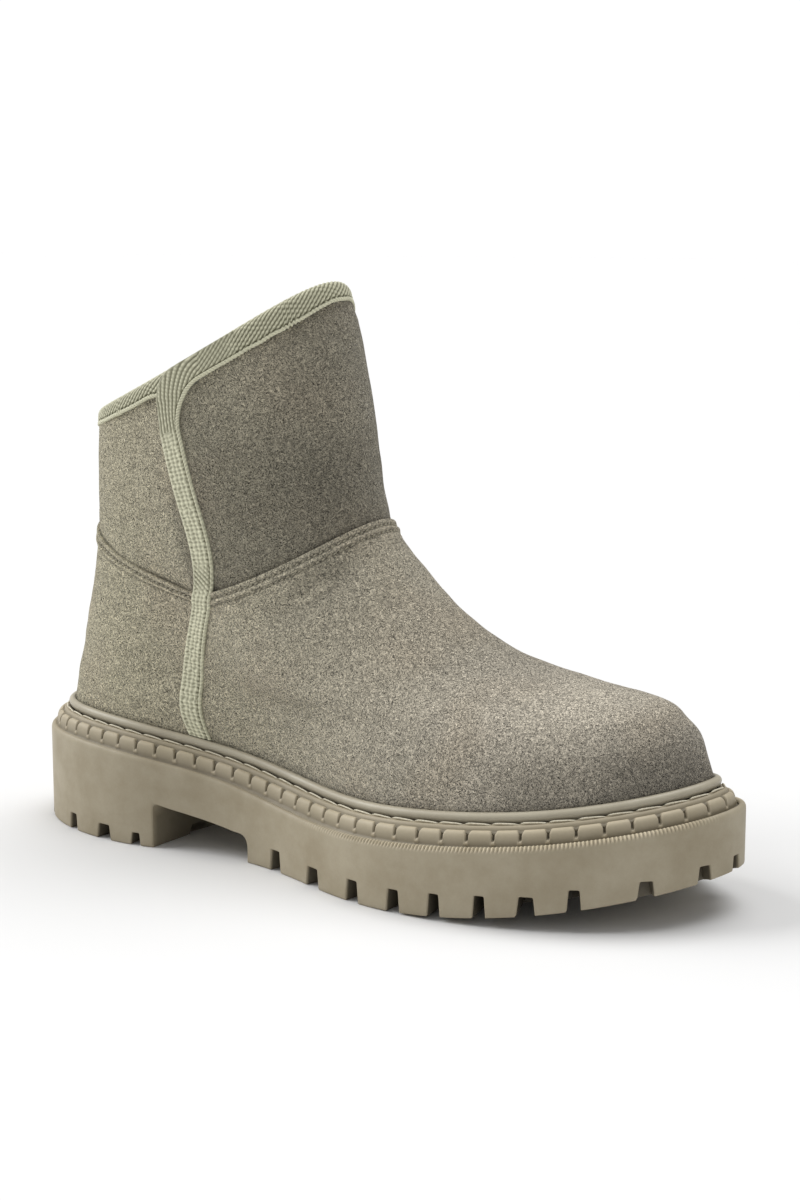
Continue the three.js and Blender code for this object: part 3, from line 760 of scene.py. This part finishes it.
def spread_round(line, count, phase):
    """Places spread round a line, a little closer at the heel than at the toe.

    Gives their lengths along the line, and the lengths and angles of a fine division of the line.
    """
    angle, run = run_round(line, 5760)
    share = run / run[-1]
    counted = share + TOE_STRETCH / TURN * np.sin(TURN * share)
    return np.interp((np.arange(count) + phase) / count, counted, run), run, angle


def build_band():
    """Moulded band of rounded beads, with a plain ledge above them."""

    def line(a):
        return by_upper(a, 6.5, 6)

    slots, fine_run, fine_angle = spread_round(line, BEADS, BEAD_PHASE)
    after = np.append(slots[1:], slots[0] + fine_run[-1])
    run = np.concatenate([slots[:, None] + BEAD_DIVISION, after[:, None] - BEAD_DIVISION[:0:-1]], axis=1)
    angle = np.interp(run.ravel() % fine_run[-1], fine_run, fine_angle)
    off = np.tile(np.concatenate([BEAD_DIVISION, -BEAD_DIVISION[:0:-1]]), BEADS)
    line_out, line_below = BAND_SECTION["out"], BAND_SECTION["below"]
    lean = unit(np.stack([np.gradient(line_below), -np.gradient(line_out)], -1))
    loops, painted_shading = [], []
    for out, below, bead, dark, (lean_out, lean_below) in zip(*BAND_SECTION.values(), lean):
        flare = np.clip((FLARE_BELOW - below) / (FLARE_BELOW - FLARE_ABOVE), 0, 1) ** 1.5
        half = SLOT_HALF + SLOT_FLARE * flare
        slot = bead * (1 - smooth(half * 0.45, half * 1.35, np.abs(off)))
        slot = slot * (1 - 0.75 * smooth(8.4, 9.4, below))
        past = (off / BALL_RADIUS) ** 2 + ((below - BALL_BELOW) / BALL_RADIUS) ** 2
        ball = bead * np.sqrt(np.clip(1 - past, 0, None))
        sunk = SLOT_DEPTH * slot * (1 - np.sqrt(ball)) - 0.5 * ball
        loops.append(by_upper(angle, out - lean_out * sunk, below - lean_below * sunk))
        # Painted shade in the slots between beads, and a painted highlight on the small ball in each slot.
        painted_shading.append(np.clip(dark + 0.7 * slot * (1 - ball), -0.2, 1) * (1 - ball) - 0.15 * ball)
    return ring_piece("bead_band", loops, band_rubber, ("midsole",), {"painted_shading": painted_shading})


def build_welt():
    """Smooth roll over the lower edge of the upper."""
    angle = all_round(720)
    loops, painted_shading = [], []
    for out, below, dark in zip(*WELT_SECTION.values()):
        loops.append(by_upper(angle, out, below))
        painted_shading.append(np.full_like(angle, dark))
    return ring_piece("welt_roll", loops, welt_rubber, ("welt",), {"painted_shading": painted_shading})


def build_threads(name, centres, spans, normals, radius, dip, material, sides=8, rings=9):
    """Stitches lying on a surface, each from end to end along its span, their ends bent down into it."""
    t = np.linspace(-1, 1, rings)
    around = all_round(sides)
    binormal = unit(np.cross(spans, normals))
    thick = radius * np.sqrt(np.clip(1 - np.abs(t) ** 6, 0.02, 1))
    line = centres[:, None] + spans[:, None] * (t / 2)[None, :, None]
    line = line - normals[:, None] * (dip * np.abs(t) ** 4)[None, :, None]
    circle = (normals[:, None, None] * np.cos(around)[None, None, :, None]
              + binormal[:, None, None] * np.sin(around)[None, None, :, None])
    points = (line[:, :, None] + circle * thick[None, :, None, None]).reshape(-1, 3)
    starts = np.arange(len(centres)) * rings * sides
    quads = (grid_faces(rings, sides)[None] + starts[:, None, None]).reshape(-1, 4)
    ends = []
    for start in starts.tolist():
        last = start + (rings - 1) * sides
        ends += [list(range(start, start + sides))[::-1], list(range(last, last + sides))]
    faces = outward(points, quads)
    if not np.array_equal(faces, quads):
        ends = [face[::-1] for face in ends]
    return show(name, new_mesh(name, points, faces.tolist() + ends), material)


def build_welt_stitches():
    def line(a):
        return by_upper(a, 3.3, 3.08)

    run, fine_run, fine_angle = spread_round(line, WELT_STITCHES, WELT_STITCH_PHASE)
    pitch = np.diff(np.append(run, run[0] + fine_run[-1]))
    angle = np.interp(run, fine_run, fine_angle)
    along = unit(line(angle + STEP) - line(angle - STEP))
    normals = unit(np.cross(by_upper(angle, 4.35, 3.38) - line(angle), along))
    normals *= np.sign(normals[:, 2:3])
    along = unit(along - 0.06 * normals)
    along = along * 0.98 * pitch[:, None]
    return build_threads("welt_stitches", line(angle), along, normals, 0.28, 0.3, welt_thread)


# ---------------------------------------------------------------- suede

SUEDE_THICK = 1.6
SEAM_ROWS = (2.1, 4.6)  # how far below the seam each row of stitches lies
FOLD_ZONE = 13.0
FOLD_DROPS = (11, 9.5, 8.3, 7.4, 6.7, 6.1, 5.6, 5.2, 4.9, 4.6, 4.3, 4.0, 3.7, 3.4, 3.1, 2.8, 2.5, 2.25, 2.0,
              1.75, 1.5, 1.2, 0.9, 0.6, 0.35, 0.15)
FOLD_EDGE = table("drop proud", (0.0, 0.6), (-0.15, 0.35), (-0.2, 0.0), (-0.1, -0.6))
FOOT_ROWS = 96
SEAM_STITCH_PITCH = 2.35
SEAM_STITCH_LENGTH = 1.6
BINDING_COVERS = 0.972  # height up to which suede and lining reach under the binding
# Creases run from one place on the upper to another; a negative depth is a ridge.
CREASES = table(
    "up0 angle0 up1 angle1 depth width",
    (0.553, 153, 0.450, 108, 2.4, 5.5), (0.500, 158, 0.430, 118, -0.5, 7.0), (0.30, 56, 0.38, 74, 0.5, 8.0),
    (0.42, 200, 0.50, 232, 0.9, 6.0), (0.66, 28, 0.60, 60, 0.5, 7.0), (0.72, 120, 0.66, 150, 0.5, 10.0),
)
# Soft patches painted lighter or darker: painted shade low round the toe and along the crease below the seam,
# painted light on the top of the toe, beside that crease and on the upper front of the leg, and a few faint
# patches elsewhere.
SHADE_AND_TONE_PATCHES = table(
    "up angle reach tone",
    (0.03, 150, 17, -0.46), (0.03, 168, 15, -0.36), (0.03, 132, 14, -0.28), (0.03, 190, 16, -0.25),
    (0.04, 106, 14, -0.1), (0.17, 152, 26, 0.2), (0.22, 170, 22, 0.17), (0.40, 112, 16, -0.06),
    (0.550, 151, 5, -0.14), (0.530, 142, 6, -0.22), (0.505, 134, 6, -0.24), (0.485, 125, 6, -0.2),
    (0.460, 115, 6, -0.12), (0.500, 116, 7, 0.08), (0.90, 128, 20, 0.2), (0.80, 166, 9, 0.1),
    (0.70, 158, 16, -0.07), (0.32, 45, 18, 0.06),
)


def with_rest(values, loops, rest=1.0):
    """Values of the first loops, and one value for all the points of the others."""
    return np.concatenate([values, np.full((len(loops) - len(values), values.shape[1]), rest)])


def crease_push(points):
    """How far the listed creases push each point out of the plain surface."""
    push = np.zeros(points.shape[:-1])
    for up0, angle0, up1, angle1, depth, width in zip(*CREASES.values()):
        t = np.linspace(0, 1, 15)
        line = skin(mix(up0, up1, t), np.radians(mix(angle0, angle1, t)))
        nearest = np.full(points.shape[:-1], 1e9)
        along = np.zeros(points.shape[:-1])
        for i in range(len(t) - 1):
            a, b = line[i], line[i + 1]
            share = np.clip(((points - a) @ (b - a)) / ((b - a) @ (b - a)), 0, 1)
            distance = np.linalg.norm(points - a - share[..., None] * (b - a), axis=-1)
            closer = distance < nearest
            nearest = np.where(closer, distance, nearest)
            along = np.where(closer, (i + share) / (len(t) - 1), along)
        push -= depth * hump(nearest, width) * np.sin(np.pi * np.clip(along, 0.08, 0.92)) ** 0.7
    return push


def patch_shade_and_tone(points):
    tone = np.zeros(points.shape[:-1])
    for up, degrees, reach, change in zip(*SHADE_AND_TONE_PATCHES.values()):
        centre = skin(up, math.radians(degrees))
        tone += change * hump(np.linalg.norm(points - centre, axis=-1), reach)
    return tone


def even_shares(count):
    """Shares of the way up to the seam that space rows evenly over toe, instep and heel."""
    t = np.linspace(0, 1, 600)
    lengths = sum(weight * run_along(skin(t * seam_up(angle), angle))
                  for angle, weight in ((math.pi, 1.0), (math.pi / 2, 0.6), (0, 0.6)))
    return np.interp(np.linspace(0, lengths[-1], count), lengths, t)


def build_upper():
    """Foot of the boot, its top edge folded over and sewn onto the leg."""
    angle = all_round(480)
    seam = seam_up(angle)
    per_up = length_up(seam - 0.02, seam, angle)
    wavy = 0.25 * waves(skin(seam, angle), 14, 5)
    top_row, low_row = SEAM_ROWS
    ups = [share * (seam - FOLD_ZONE / per_up) for share in even_shares(FOOT_ROWS)]
    ups = np.array(ups + [seam - drop / per_up for drop in (*FOLD_DROPS, *FOLD_EDGE["drop"])])
    drop = np.array(FOLD_DROPS)[:, None]
    doubled = 0.5 * (1 - smooth(3.8, 7.0, drop)) + 0.2 * (1 - smooth(0.3, 1.8, drop))
    dents = 0.55 * hump(drop - top_row, 0.5) + 0.5 * hump(drop - low_row, 0.55)
    dents = dents - 0.3 * hump(drop - (top_row + low_row) / 2, 0.7) * (1 + wavy)
    proud = np.concatenate([np.zeros((FOOT_ROWS, len(angle))), doubled - dents,
                            FOLD_EDGE["proud"][:, None] + 0 * angle])
    base = skin(ups, angle)
    normal = skin_axes(ups, angle)[0]
    push = proud + crease_push(base)
    push += 0.35 * waves(base, 34, 11) * smooth(0, 0.12, ups) + 0.1 * waves(base, 9, 12)
    outer = base + normal * push[..., None]
    inner = [off_skin(share * (seam - 0.6 / per_up), angle, -SUEDE_THICK) for share in np.linspace(1, 0, 24)]
    hem = [by_upper(angle, -SUEDE_THICK, 3.6), by_upper(angle, -0.3, 3.8)]
    loops = [*outer, *inner, *hem]
    drop = (seam - ups) * per_up
    # Painted shade and light: the patches, and painted shade at the foot of the upper where it meets the
    # welt.
    face_tone_and_shade = (1 + patch_shade_and_tone(base)) * (1 - 0.25 * hump(ups, 0.02))
    # Painted shadow along each row of seam stitches, and a painted highlight on the puffed strip between the
    # rows.
    face_tone_and_shade *= (1 - 0.5 * hump(drop - top_row, 0.5) - 0.45 * hump(drop - low_row, 0.5)
                  + 0.1 * hump(drop - 3.3, 0.6))
    return ring_piece("upper_suede", loops, suede, ("upper",), {"tone": with_rest(face_tone_and_shade, loops)})


def build_shaft():
    """Leg of the boot, tucked under the folded edge at the seam and under the binding at the collar."""
    angle = all_round(400)
    seam = seam_up(angle)
    per_up = length_up(seam, seam + 0.02, angle)
    start = seam - 2.0 / per_up
    shares = np.concatenate([np.linspace(0, 0.12, 16)[:-1], np.linspace(0.12, 1, 80)])
    ups = start + shares[:, None] * (BINDING_COVERS - start)
    drop = (ups - seam) * per_up
    base = skin(ups, angle)
    normal = skin_axes(ups, angle)[0]
    push = -0.75 * (1 - smooth(-0.5, 7.0, drop)) - 0.7 * smooth(0.945, 0.965, ups)
    push += 0.4 * waves(base, 40, 21) + 0.12 * waves(base, 10, 22) + crease_push(base)
    outer = base + normal * push[..., None]
    inner = [off_skin(mix(BINDING_COVERS, seam + 0.002, share), angle, -SUEDE_THICK - 0.75)
             for share in np.linspace(0, 1, 20)]
    loops = [*outer, *inner]
    turn = from_heel(angle)
    darker = 0.37 - 0.05 * smooth(0.8, 0.95, ups) + 0.04 * hump(turn - 150, 20)
    face_tone_and_shade = 0.95 - smooth(86, 92, turn) * darker + patch_shade_and_tone(base)
    # Painted shadow on the leg just above the folded edge of the foot.
    tone = with_rest(face_tone_and_shade * (1 - 0.5 * hump(drop, 1.1)), loops, 0.95)
    return ring_piece("shaft_suede", loops, suede, ("shaft",), {"tone": tone})


def build_seam_stitches():
    top_row, low_row = SEAM_ROWS
    for name, drop, proud, phase in (("seam_stitches_top", top_row, 0.25, 0.0),
                                     ("seam_stitches_bottom", low_row, 0.1, 0.5)):
        def line(a):
            seam = seam_up(a)
            return off_skin(seam - drop / length_up(seam - 0.02, seam, a), a, proud)

        _, _, whole = evenly_round(line, 4, 720)
        count = round(whole / SEAM_STITCH_PITCH)
        angle, _, _ = evenly_round(line, count, 1440)
        angle = angle + phase * TURN / count
        along = unit(line(angle + 2 * STEP) - line(angle - 2 * STEP))
        normal, _, upward = skin_axes(seam_up(angle) - 0.02, angle)
        along = unit(along + 0.2 * upward) * SEAM_STITCH_LENGTH
        build_threads(name, line(angle), along, normal, 0.27, 0.35, seam_thread, sides=6, rings=7)


# ---------------------------------------------------------------- fleece


CURL_HEIGHT = 1.3
VALLEY_SHADE = 0.72


def curls(points, seed):
    """Tufts of fleece: rounded humps between fine valleys, 0 to 1."""
    bent = points + 1.2 * np.stack([waves(points, 7, seed + k) for k in (1, 2, 3)], -1)
    return np.clip(1 - np.abs(waves(bent, 4.2, seed)) * 1.3, 0, 1) ** 0.8


def build_lining():
    """Fleece inside the foot and the leg."""
    angle = all_round(320)
    seam = seam_up(angle)
    low = [share * seam for share in even_shares(70)]
    high = [mix(seam, BINDING_COVERS, t) for t in np.linspace(0, 1, 48)[1:]]
    ups = np.array(low + high)
    base = skin(ups, angle)
    normal = skin_axes(ups, angle)[0]
    tuft = curls(base, 40)
    wall = mix(FOOT_WALL, COLLAR_WALL - 0.8, smooth(0.5, 0.95, ups))
    squeeze = smooth(0.93, BINDING_COVERS, ups)
    inner = base - normal * (wall - 0.9 + CURL_HEIGHT * tuft * (1 - squeeze))[..., None]
    back = [off_skin(up, angle, -SUEDE_THICK - 1.0) for up in np.linspace(BINDING_COVERS, 0, 40)]
    loops = [*inner, *back]
    shade = with_rest(mix(VALLEY_SHADE, 1, tuft), loops)
    return ring_piece("fleece_lining", loops, fleece, ("upper", "shaft"), {"tuft": shade})


def build_insole():
    """Fleece-covered insole, closed along its middle line."""
    angle = all_round(360)
    rim = by_upper(angle, -FOOT_WALL + 0.3, 0.2)
    under = by_upper(angle, -FOOT_WALL - 1.0, 4.2)
    rim_middle = (rim + np.roll(rim[::-1], 1, axis=0)) / 2
    under_middle = (under + np.roll(under[::-1], 1, axis=0)) / 2
    t = np.linspace(1, 0, 34)
    top = np.array([mix(rim, rim_middle, share) for share in t])
    tuft = curls(top, 60)
    top[..., 2] += CURL_HEIGHT * tuft * smooth(1.0, 0.9, t)[:, None]
    bottom = np.array([mix(under_middle, under, share) for share in np.linspace(1, 0, 4)])
    loops = np.concatenate([top, bottom])
    faces = outward(loops.reshape(-1, 3), grid_faces(len(loops), len(angle)))
    mesh = new_mesh("insole_fleece", loops, faces.tolist())
    store(mesh, "tuft", with_rest(mix(VALLEY_SHADE, 1, tuft), loops))
    with editing(mesh) as bm:
        bmesh.ops.remove_doubles(bm, verts=bm.verts, dist=0.01 * MM)
    return show("insole_fleece", mesh, fleece, ("insole",))


# ---------------------------------------------------------------- binding and tapes

RIB_PITCH = 1.45
KNOT_PITCH = 1.5
RIB_LEAN = math.radians(36)
TICK_PITCH = 1.3
ROLL_DROP = 2.6
TAPE_WIDTH = 9.5
FACE_PROUD = 0.45
INNER_PROUD = -5.0
INNER_DROP = 8.5


def collar(angle):
    return skin(1.0, angle)


def twill(side, along):
    """Height of a twill, 0 to 1, by ribs counted across them and knots counted along them."""
    ridge = (0.5 + 0.5 * np.cos(TURN * side)) ** 0.8
    knot = 0.5 + 0.5 * np.cos(TURN * (along + 0.5 * np.round(side)))
    return ridge * (0.62 + 0.38 * knot)


def selvedge(length):
    """Height of a folded edge, with a fine tick at every pitch of its length."""
    return 0.78 + 0.22 * np.cos(TURN * length / TICK_PITCH)


def basket(run, across, jitter):
    """Rows and columns of small bumps."""
    columns = np.cos(TURN * (across / 1.9 + 0.15 * jitter))
    rows = np.cos(TURN * (run / 1.55 + 0.15 * jitter))
    return np.clip(0.66 + 0.24 * columns + 0.2 * rows, 0, 1)


def build_binding():
    """Twill binding folded over the collar, with a plain folded lower edge."""
    angle, run, whole = evenly_round(collar, 900, 2880)
    per_up = length_up(0.9, 1.0, angle)
    turn = from_heel(angle)
    low = mix(6.6, TAPE_WIDTH, smooth(80, 100, turn))
    low = low * (1 - 0.2 * smooth(145, 172, turn)) + 0.1 * waves(collar(angle), 9, 31)
    low += 0.28 * np.cos(TURN * run / 1.5) * (0.6 + 0.6 * waves(collar(angle), 5, 32))
    tucked = hump(np.degrees(angle) - 205, 20)
    low *= 1 - 0.22 * tucked
    face_proud = FACE_PROUD - 0.8 * tucked
    centre, half = (face_proud + INNER_PROUD) / 2, (face_proud - INNER_PROUD) / 2
    rows = [("face", t) for t in np.linspace(0, 1, 22)] + [("roll", t) for t in np.linspace(0, 1, 24)[1:-1]]
    rows += [("inside", t) for t in np.linspace(0, 1, 15)]
    roll_length = math.pi * np.sqrt((half**2 + ROLL_DROP**2) / 2)
    loops, ribs = [], []
    for kind, t in rows:
        if kind == "face":
            drop, proud, tilt = mix(low, ROLL_DROP, t), face_proud, 0.0
            across = low - drop
        elif kind == "roll":
            tilt = math.pi * t
            drop = ROLL_DROP * (1 - math.sin(tilt))
            proud = centre + half * math.cos(tilt)
            across = low - ROLL_DROP + roll_length * t
        else:
            drop, proud, tilt = mix(ROLL_DROP, INNER_DROP, t), INNER_PROUD, math.pi
            across = low - ROLL_DROP + roll_length + drop - ROLL_DROP
        up = 1 - drop / per_up
        lip = smooth(7.0, 7.3, drop) if kind == "inside" else 1 - smooth(1.0, 1.3, across)
        side = (across * math.cos(RIB_LEAN) - run * math.sin(RIB_LEAN)) / RIB_PITCH
        along = (run * math.cos(RIB_LEAN) + across * math.sin(RIB_LEAN)) / KNOT_PITCH
        rib_height_and_shade = twill(side, along) * (1 - lip) + lip * selvedge(run + across)
        # Painted shadow: a dent under the folded edge, painted darker as well.
        under = 0.35 * hump(across - 1.5, 0.3) if kind == "face" else 0
        height = 0.42 * rib_height_and_shade * (1 - lip) + lip * 0.5 - under - 0.4 * (1 - smooth(0, 0.35, across))
        out, _, upward = skin_axes(np.clip(up, 0, 1), angle)
        shift = out * (proud + height * math.cos(tilt))[:, None] + upward * (height * math.sin(tilt))[:, None]
        loops.append(skin(up, angle) + shift)
        ribs.append(np.clip(rib_height_and_shade - 1.5 * under, 0, 1))
    for drop, proud in ((INNER_DROP, INNER_PROUD + 1.0), (ROLL_DROP, INNER_PROUD + 1.0), (ROLL_DROP, -1.4),
                        (low, -1.4)):
        loops.append(off_skin(1 - drop / per_up, angle, proud))
        ribs.append(np.zeros_like(low))
    return ring_piece("binding_twill", loops, webbing, ("collar_binding",), {"rib_height_and_shade": ribs})


TURN_RADIUS = 12.0
RUN_ON = 16.0
HALF_TAPE = TAPE_WIDTH / 2
BEND = TURN_RADIUS + HALF_TAPE
TAPE_ACROSS = np.concatenate([np.linspace(-HALF_TAPE, HALF_TAPE - 1.6, 26),
                              np.linspace(HALF_TAPE - 1.5, HALF_TAPE, 7)])
TAPE_PER_UP = length_up(0.9, 1.0, tape_angle(np.array(0.89)))


def length_round(up, angle):
    """Millimetres round the upper for each radian."""
    return np.linalg.norm(skin(up, angle + 0.01) - skin(up, angle - 0.01), axis=-1) / 0.02


def tape_path():
    """Rows across the tape: up the side, round a bend and on along the front of the collar.

    Each row has the angles and heights of its points, the length run so far, and its stage:
    the height on the side, 1 in the bend, 1 to 2 along the collar. The second value is the
    length of the tape on the side.
    """
    v = TAPE_ACROSS
    start_drop = TAPE_WIDTH + TURN_RADIUS
    side_up = np.linspace(0.006, 1 - start_drop / TAPE_PER_UP, 640)
    middle = tape_angle(side_up)
    lengths = run_along(skin(side_up, middle))
    rows = [(turn + v / per_turn, np.full_like(v, up), length, up)
            for up, turn, per_turn, length in zip(side_up, middle, length_round(side_up, middle), lengths)]
    top, length = middle[-1], lengths[-1]
    per_turn = length_round(0.95, top)
    # The inner edge turns in a round bend, the outer edge runs almost into the corner.
    square = mix(1.0, 0.42, (HALF_TAPE - v) / TAPE_WIDTH)
    for share in np.linspace(0, 1, 100)[1:]:
        t = math.pi / 2 * smooth(0, 1, share)
        turn = top + (BEND - (BEND - v) * max(math.cos(t), 0.0) ** square) / per_turn
        drop = start_drop - (BEND - v) * math.sin(t) ** square
        rows.append((turn, 1 - np.maximum(drop, 0.4) / length_up(0.9, 1.0, turn), length + BEND * t, 1.0))
    for t in np.linspace(0, 1, 32)[1:]:
        turn = top + (BEND + RUN_ON * t + 0 * v) / per_turn
        up = 1 - np.maximum(HALF_TAPE + v, 0.4) / length_up(0.9, 1.0, turn)
        rows.append((turn, up, length + BEND * math.pi / 2 + RUN_ON * t, 1.0 + t))
    return rows, length


def build_tape(name, node, mirrored):
    """Tape over a side seam: a plain weave low down, and ribs like the binding's near the collar."""
    v, half = TAPE_ACROSS, HALF_TAPE
    rows, side_length = tape_path()
    # The ribs lean more and more from along the tape to the lean of the collar, and meet its ribs.
    runs = np.array([row[2] for row in rows])
    lean = mix(math.radians(6), RIB_LEAN, smooth(side_length, runs[-1], runs))
    counted = np.concatenate([[0], np.cumsum(np.diff(runs) * np.sin(lean[1:]))]) / RIB_PITCH
    sign = 1 if mirrored else -1
    end_turn = rows[-1][0][0]
    collar_length = np.interp(TURN - end_turn if mirrored else end_turn, *run_round(collar, 2880))
    offset = -sign * counted[-1] - collar_length * math.sin(RIB_LEAN) / RIB_PITCH
    loops, ribs = [], []
    for (turn, up, run, stage), rib_lean, count in zip(rows, lean, counted):
        side_turn = TURN - turn if mirrored else turn
        on_side = stage < 0.8
        across = half - v
        lip = smooth(half - 1.25, half - 0.95, v) * (0.35 + 0.65 * smooth(0.7, 0.85, stage))
        left_lip = 1 - smooth(-half + 0.7, -half + 1.0, v)
        ribbed = smooth(0.84, 0.93, stage)
        slanted = 0.9 * hump(stage - 0.545, 0.035) * on_side
        ribs_on = twill(across * math.cos(rib_lean) / RIB_PITCH + sign * count + offset, run / KNOT_PITCH)
        slant = twill((across * 0.64 - run * 0.77) / RIB_PITCH, (run * 0.64 + across * 0.77) / KNOT_PITCH)
        woven = basket(run, v, waves(skin(up, side_turn), 3.0, 77))
        rib_height_and_shade = mix(mix(woven, slant, slanted), ribs_on, ribbed)
        dots = max(0.0, math.cos(TURN * run / 2.2)) ** 2 * (1 - ribbed)
        dots = dots * (hump(v - half + 1.95, 0.3) + hump(v + half - 1.3, 0.3))
        rib_height_and_shade = rib_height_and_shade * (1 - lip) * (1 - 0.6 * left_lip) + 0.5 * left_lip * (1 - 0.7 * ribbed)
        rib_height_and_shade = rib_height_and_shade + lip * selvedge(run + across)
        # Painted shade in the stitch dents, and a painted shadow line beside the folded edge.
        rib_height_and_shade = np.clip(rib_height_and_shade - 0.6 * dots - 0.8 * hump(v - half + 1.35, 0.2), 0, 1)
        edge_fall = 1 - 0.55 * hump(np.abs(v) - half, 0.3)
        bulge = 0.75 * hump(stage - seam_up(turn[0]) + 0.01, 0.022) * on_side
        over = 0.45 * smooth(11.5, 9.0, (1 - up) * TAPE_PER_UP) if stage <= 1 else 0.45
        proud = (0.5 + 0.4 * rib_height_and_shade + 0.3 * lip) * edge_fall + bulge + over - 0.5 * smooth(0.2, 1.0, stage - 1)
        top = off_skin(up, side_turn, proud)
        flat = off_skin(up[::-7], side_turn[::-7], -0.5)
        loops.append(np.concatenate([top, flat]))
        ribs.append(np.concatenate([rib_height_and_shade, np.zeros(len(flat))]))
    loops = np.array(loops)
    faces = outward(loops.reshape(-1, 3), grid_faces(*loops.shape[:2]))
    mesh = new_mesh(name, loops, faces.tolist())
    store(mesh, "rib_height_and_shade", ribs)
    obj = show(name, mesh, webbing, (node,))
    with editing(mesh) as bm:
        bmesh.ops.holes_fill(bm, edges=[e for e in bm.edges if e.is_boundary])
    return obj


build_outsole()
build_rim()
build_band()
build_welt()
build_welt_stitches()
build_upper()
build_shaft()
build_seam_stitches()
build_lining()
build_insole()
build_binding()
build_tape("tape_lateral", "side_tape_lateral", False)
build_tape("tape_medial", "side_tape_medial", True)

# ---------------------------------------------------------------- floor, light and camera


def build_floor():
    f = Finish("floor", Roughness=0.9, Specular_IOR_Level=0.1)
    material = f.done(f.blend(f.noise(400, detail=1), (0.75, 0.75, 0.75, 1), (0.77, 0.77, 0.77, 1)))
    bpy.ops.mesh.primitive_plane_add(size=30)
    floor = bpy.context.object
    floor.name = "floor"
    floor.data.materials.append(material)


ROOM_LIGHT = 0.42
BACKDROP_SEEN = 1.05


def build_world():
    """White room, seen brighter than it lights the boot."""
    world = bpy.data.worlds.new("studio")
    bpy.context.scene.world = world
    world.use_nodes = True
    tree = world.node_tree
    background = tree.nodes["Background"]
    background.inputs["Color"].default_value = (1, 1, 1, 1)
    path = tree.nodes.new("ShaderNodeLightPath")
    seen = tree.nodes.new("ShaderNodeMapRange")
    seen.inputs["To Min"].default_value = ROOM_LIGHT
    seen.inputs["To Max"].default_value = BACKDROP_SEEN
    tree.links.new(path.outputs["Is Camera Ray"], seen.inputs["Value"])
    tree.links.new(seen.outputs["Result"], background.inputs["Strength"])


def add_sun(name, direction, strength, softness):
    """Soft light that comes from the given direction."""
    lamp = bpy.data.lights.new(name, "SUN")
    lamp.energy = strength
    lamp.angle = math.radians(softness)
    add_object(name, lamp).rotation_euler = Vector(direction).to_track_quat("Z", "Y").to_euler()


AZIMUTH, ELEVATION = math.radians(34.056), math.radians(9.8315)
DISTANCE = 0.76153
TARGET = (0.01379, 0.00219, 0.09515)
LENS = 64.243


def build_camera():
    back = Vector((math.sin(AZIMUTH) * math.cos(ELEVATION), -math.cos(AZIMUTH) * math.cos(ELEVATION),
                   math.sin(ELEVATION)))
    right = Vector((math.cos(AZIMUTH), math.sin(AZIMUTH), 0))
    upward = back.cross(right)
    data = bpy.data.cameras.new("camera")
    data.lens, data.sensor_width, data.sensor_height, data.sensor_fit = LENS, 36, 36, "AUTO"
    data.clip_start, data.clip_end = 0.05, 50
    camera = add_object("camera", data)
    turned = Matrix((right, upward, back)).transposed().to_4x4()
    camera.matrix_world = Matrix.Translation(Vector(TARGET) + back * DISTANCE) @ turned
    bpy.context.scene.camera = camera


build_floor()
build_world()
add_sun("key", (-1.0, -0.3, 0.85), 2.05, 40)
add_sun("top", (0.1, 0.3, 1.0), 1.7, 45)
build_camera()
bpy.context.scene.view_settings.view_transform = "Standard"

bpy.context.view_layer.update()
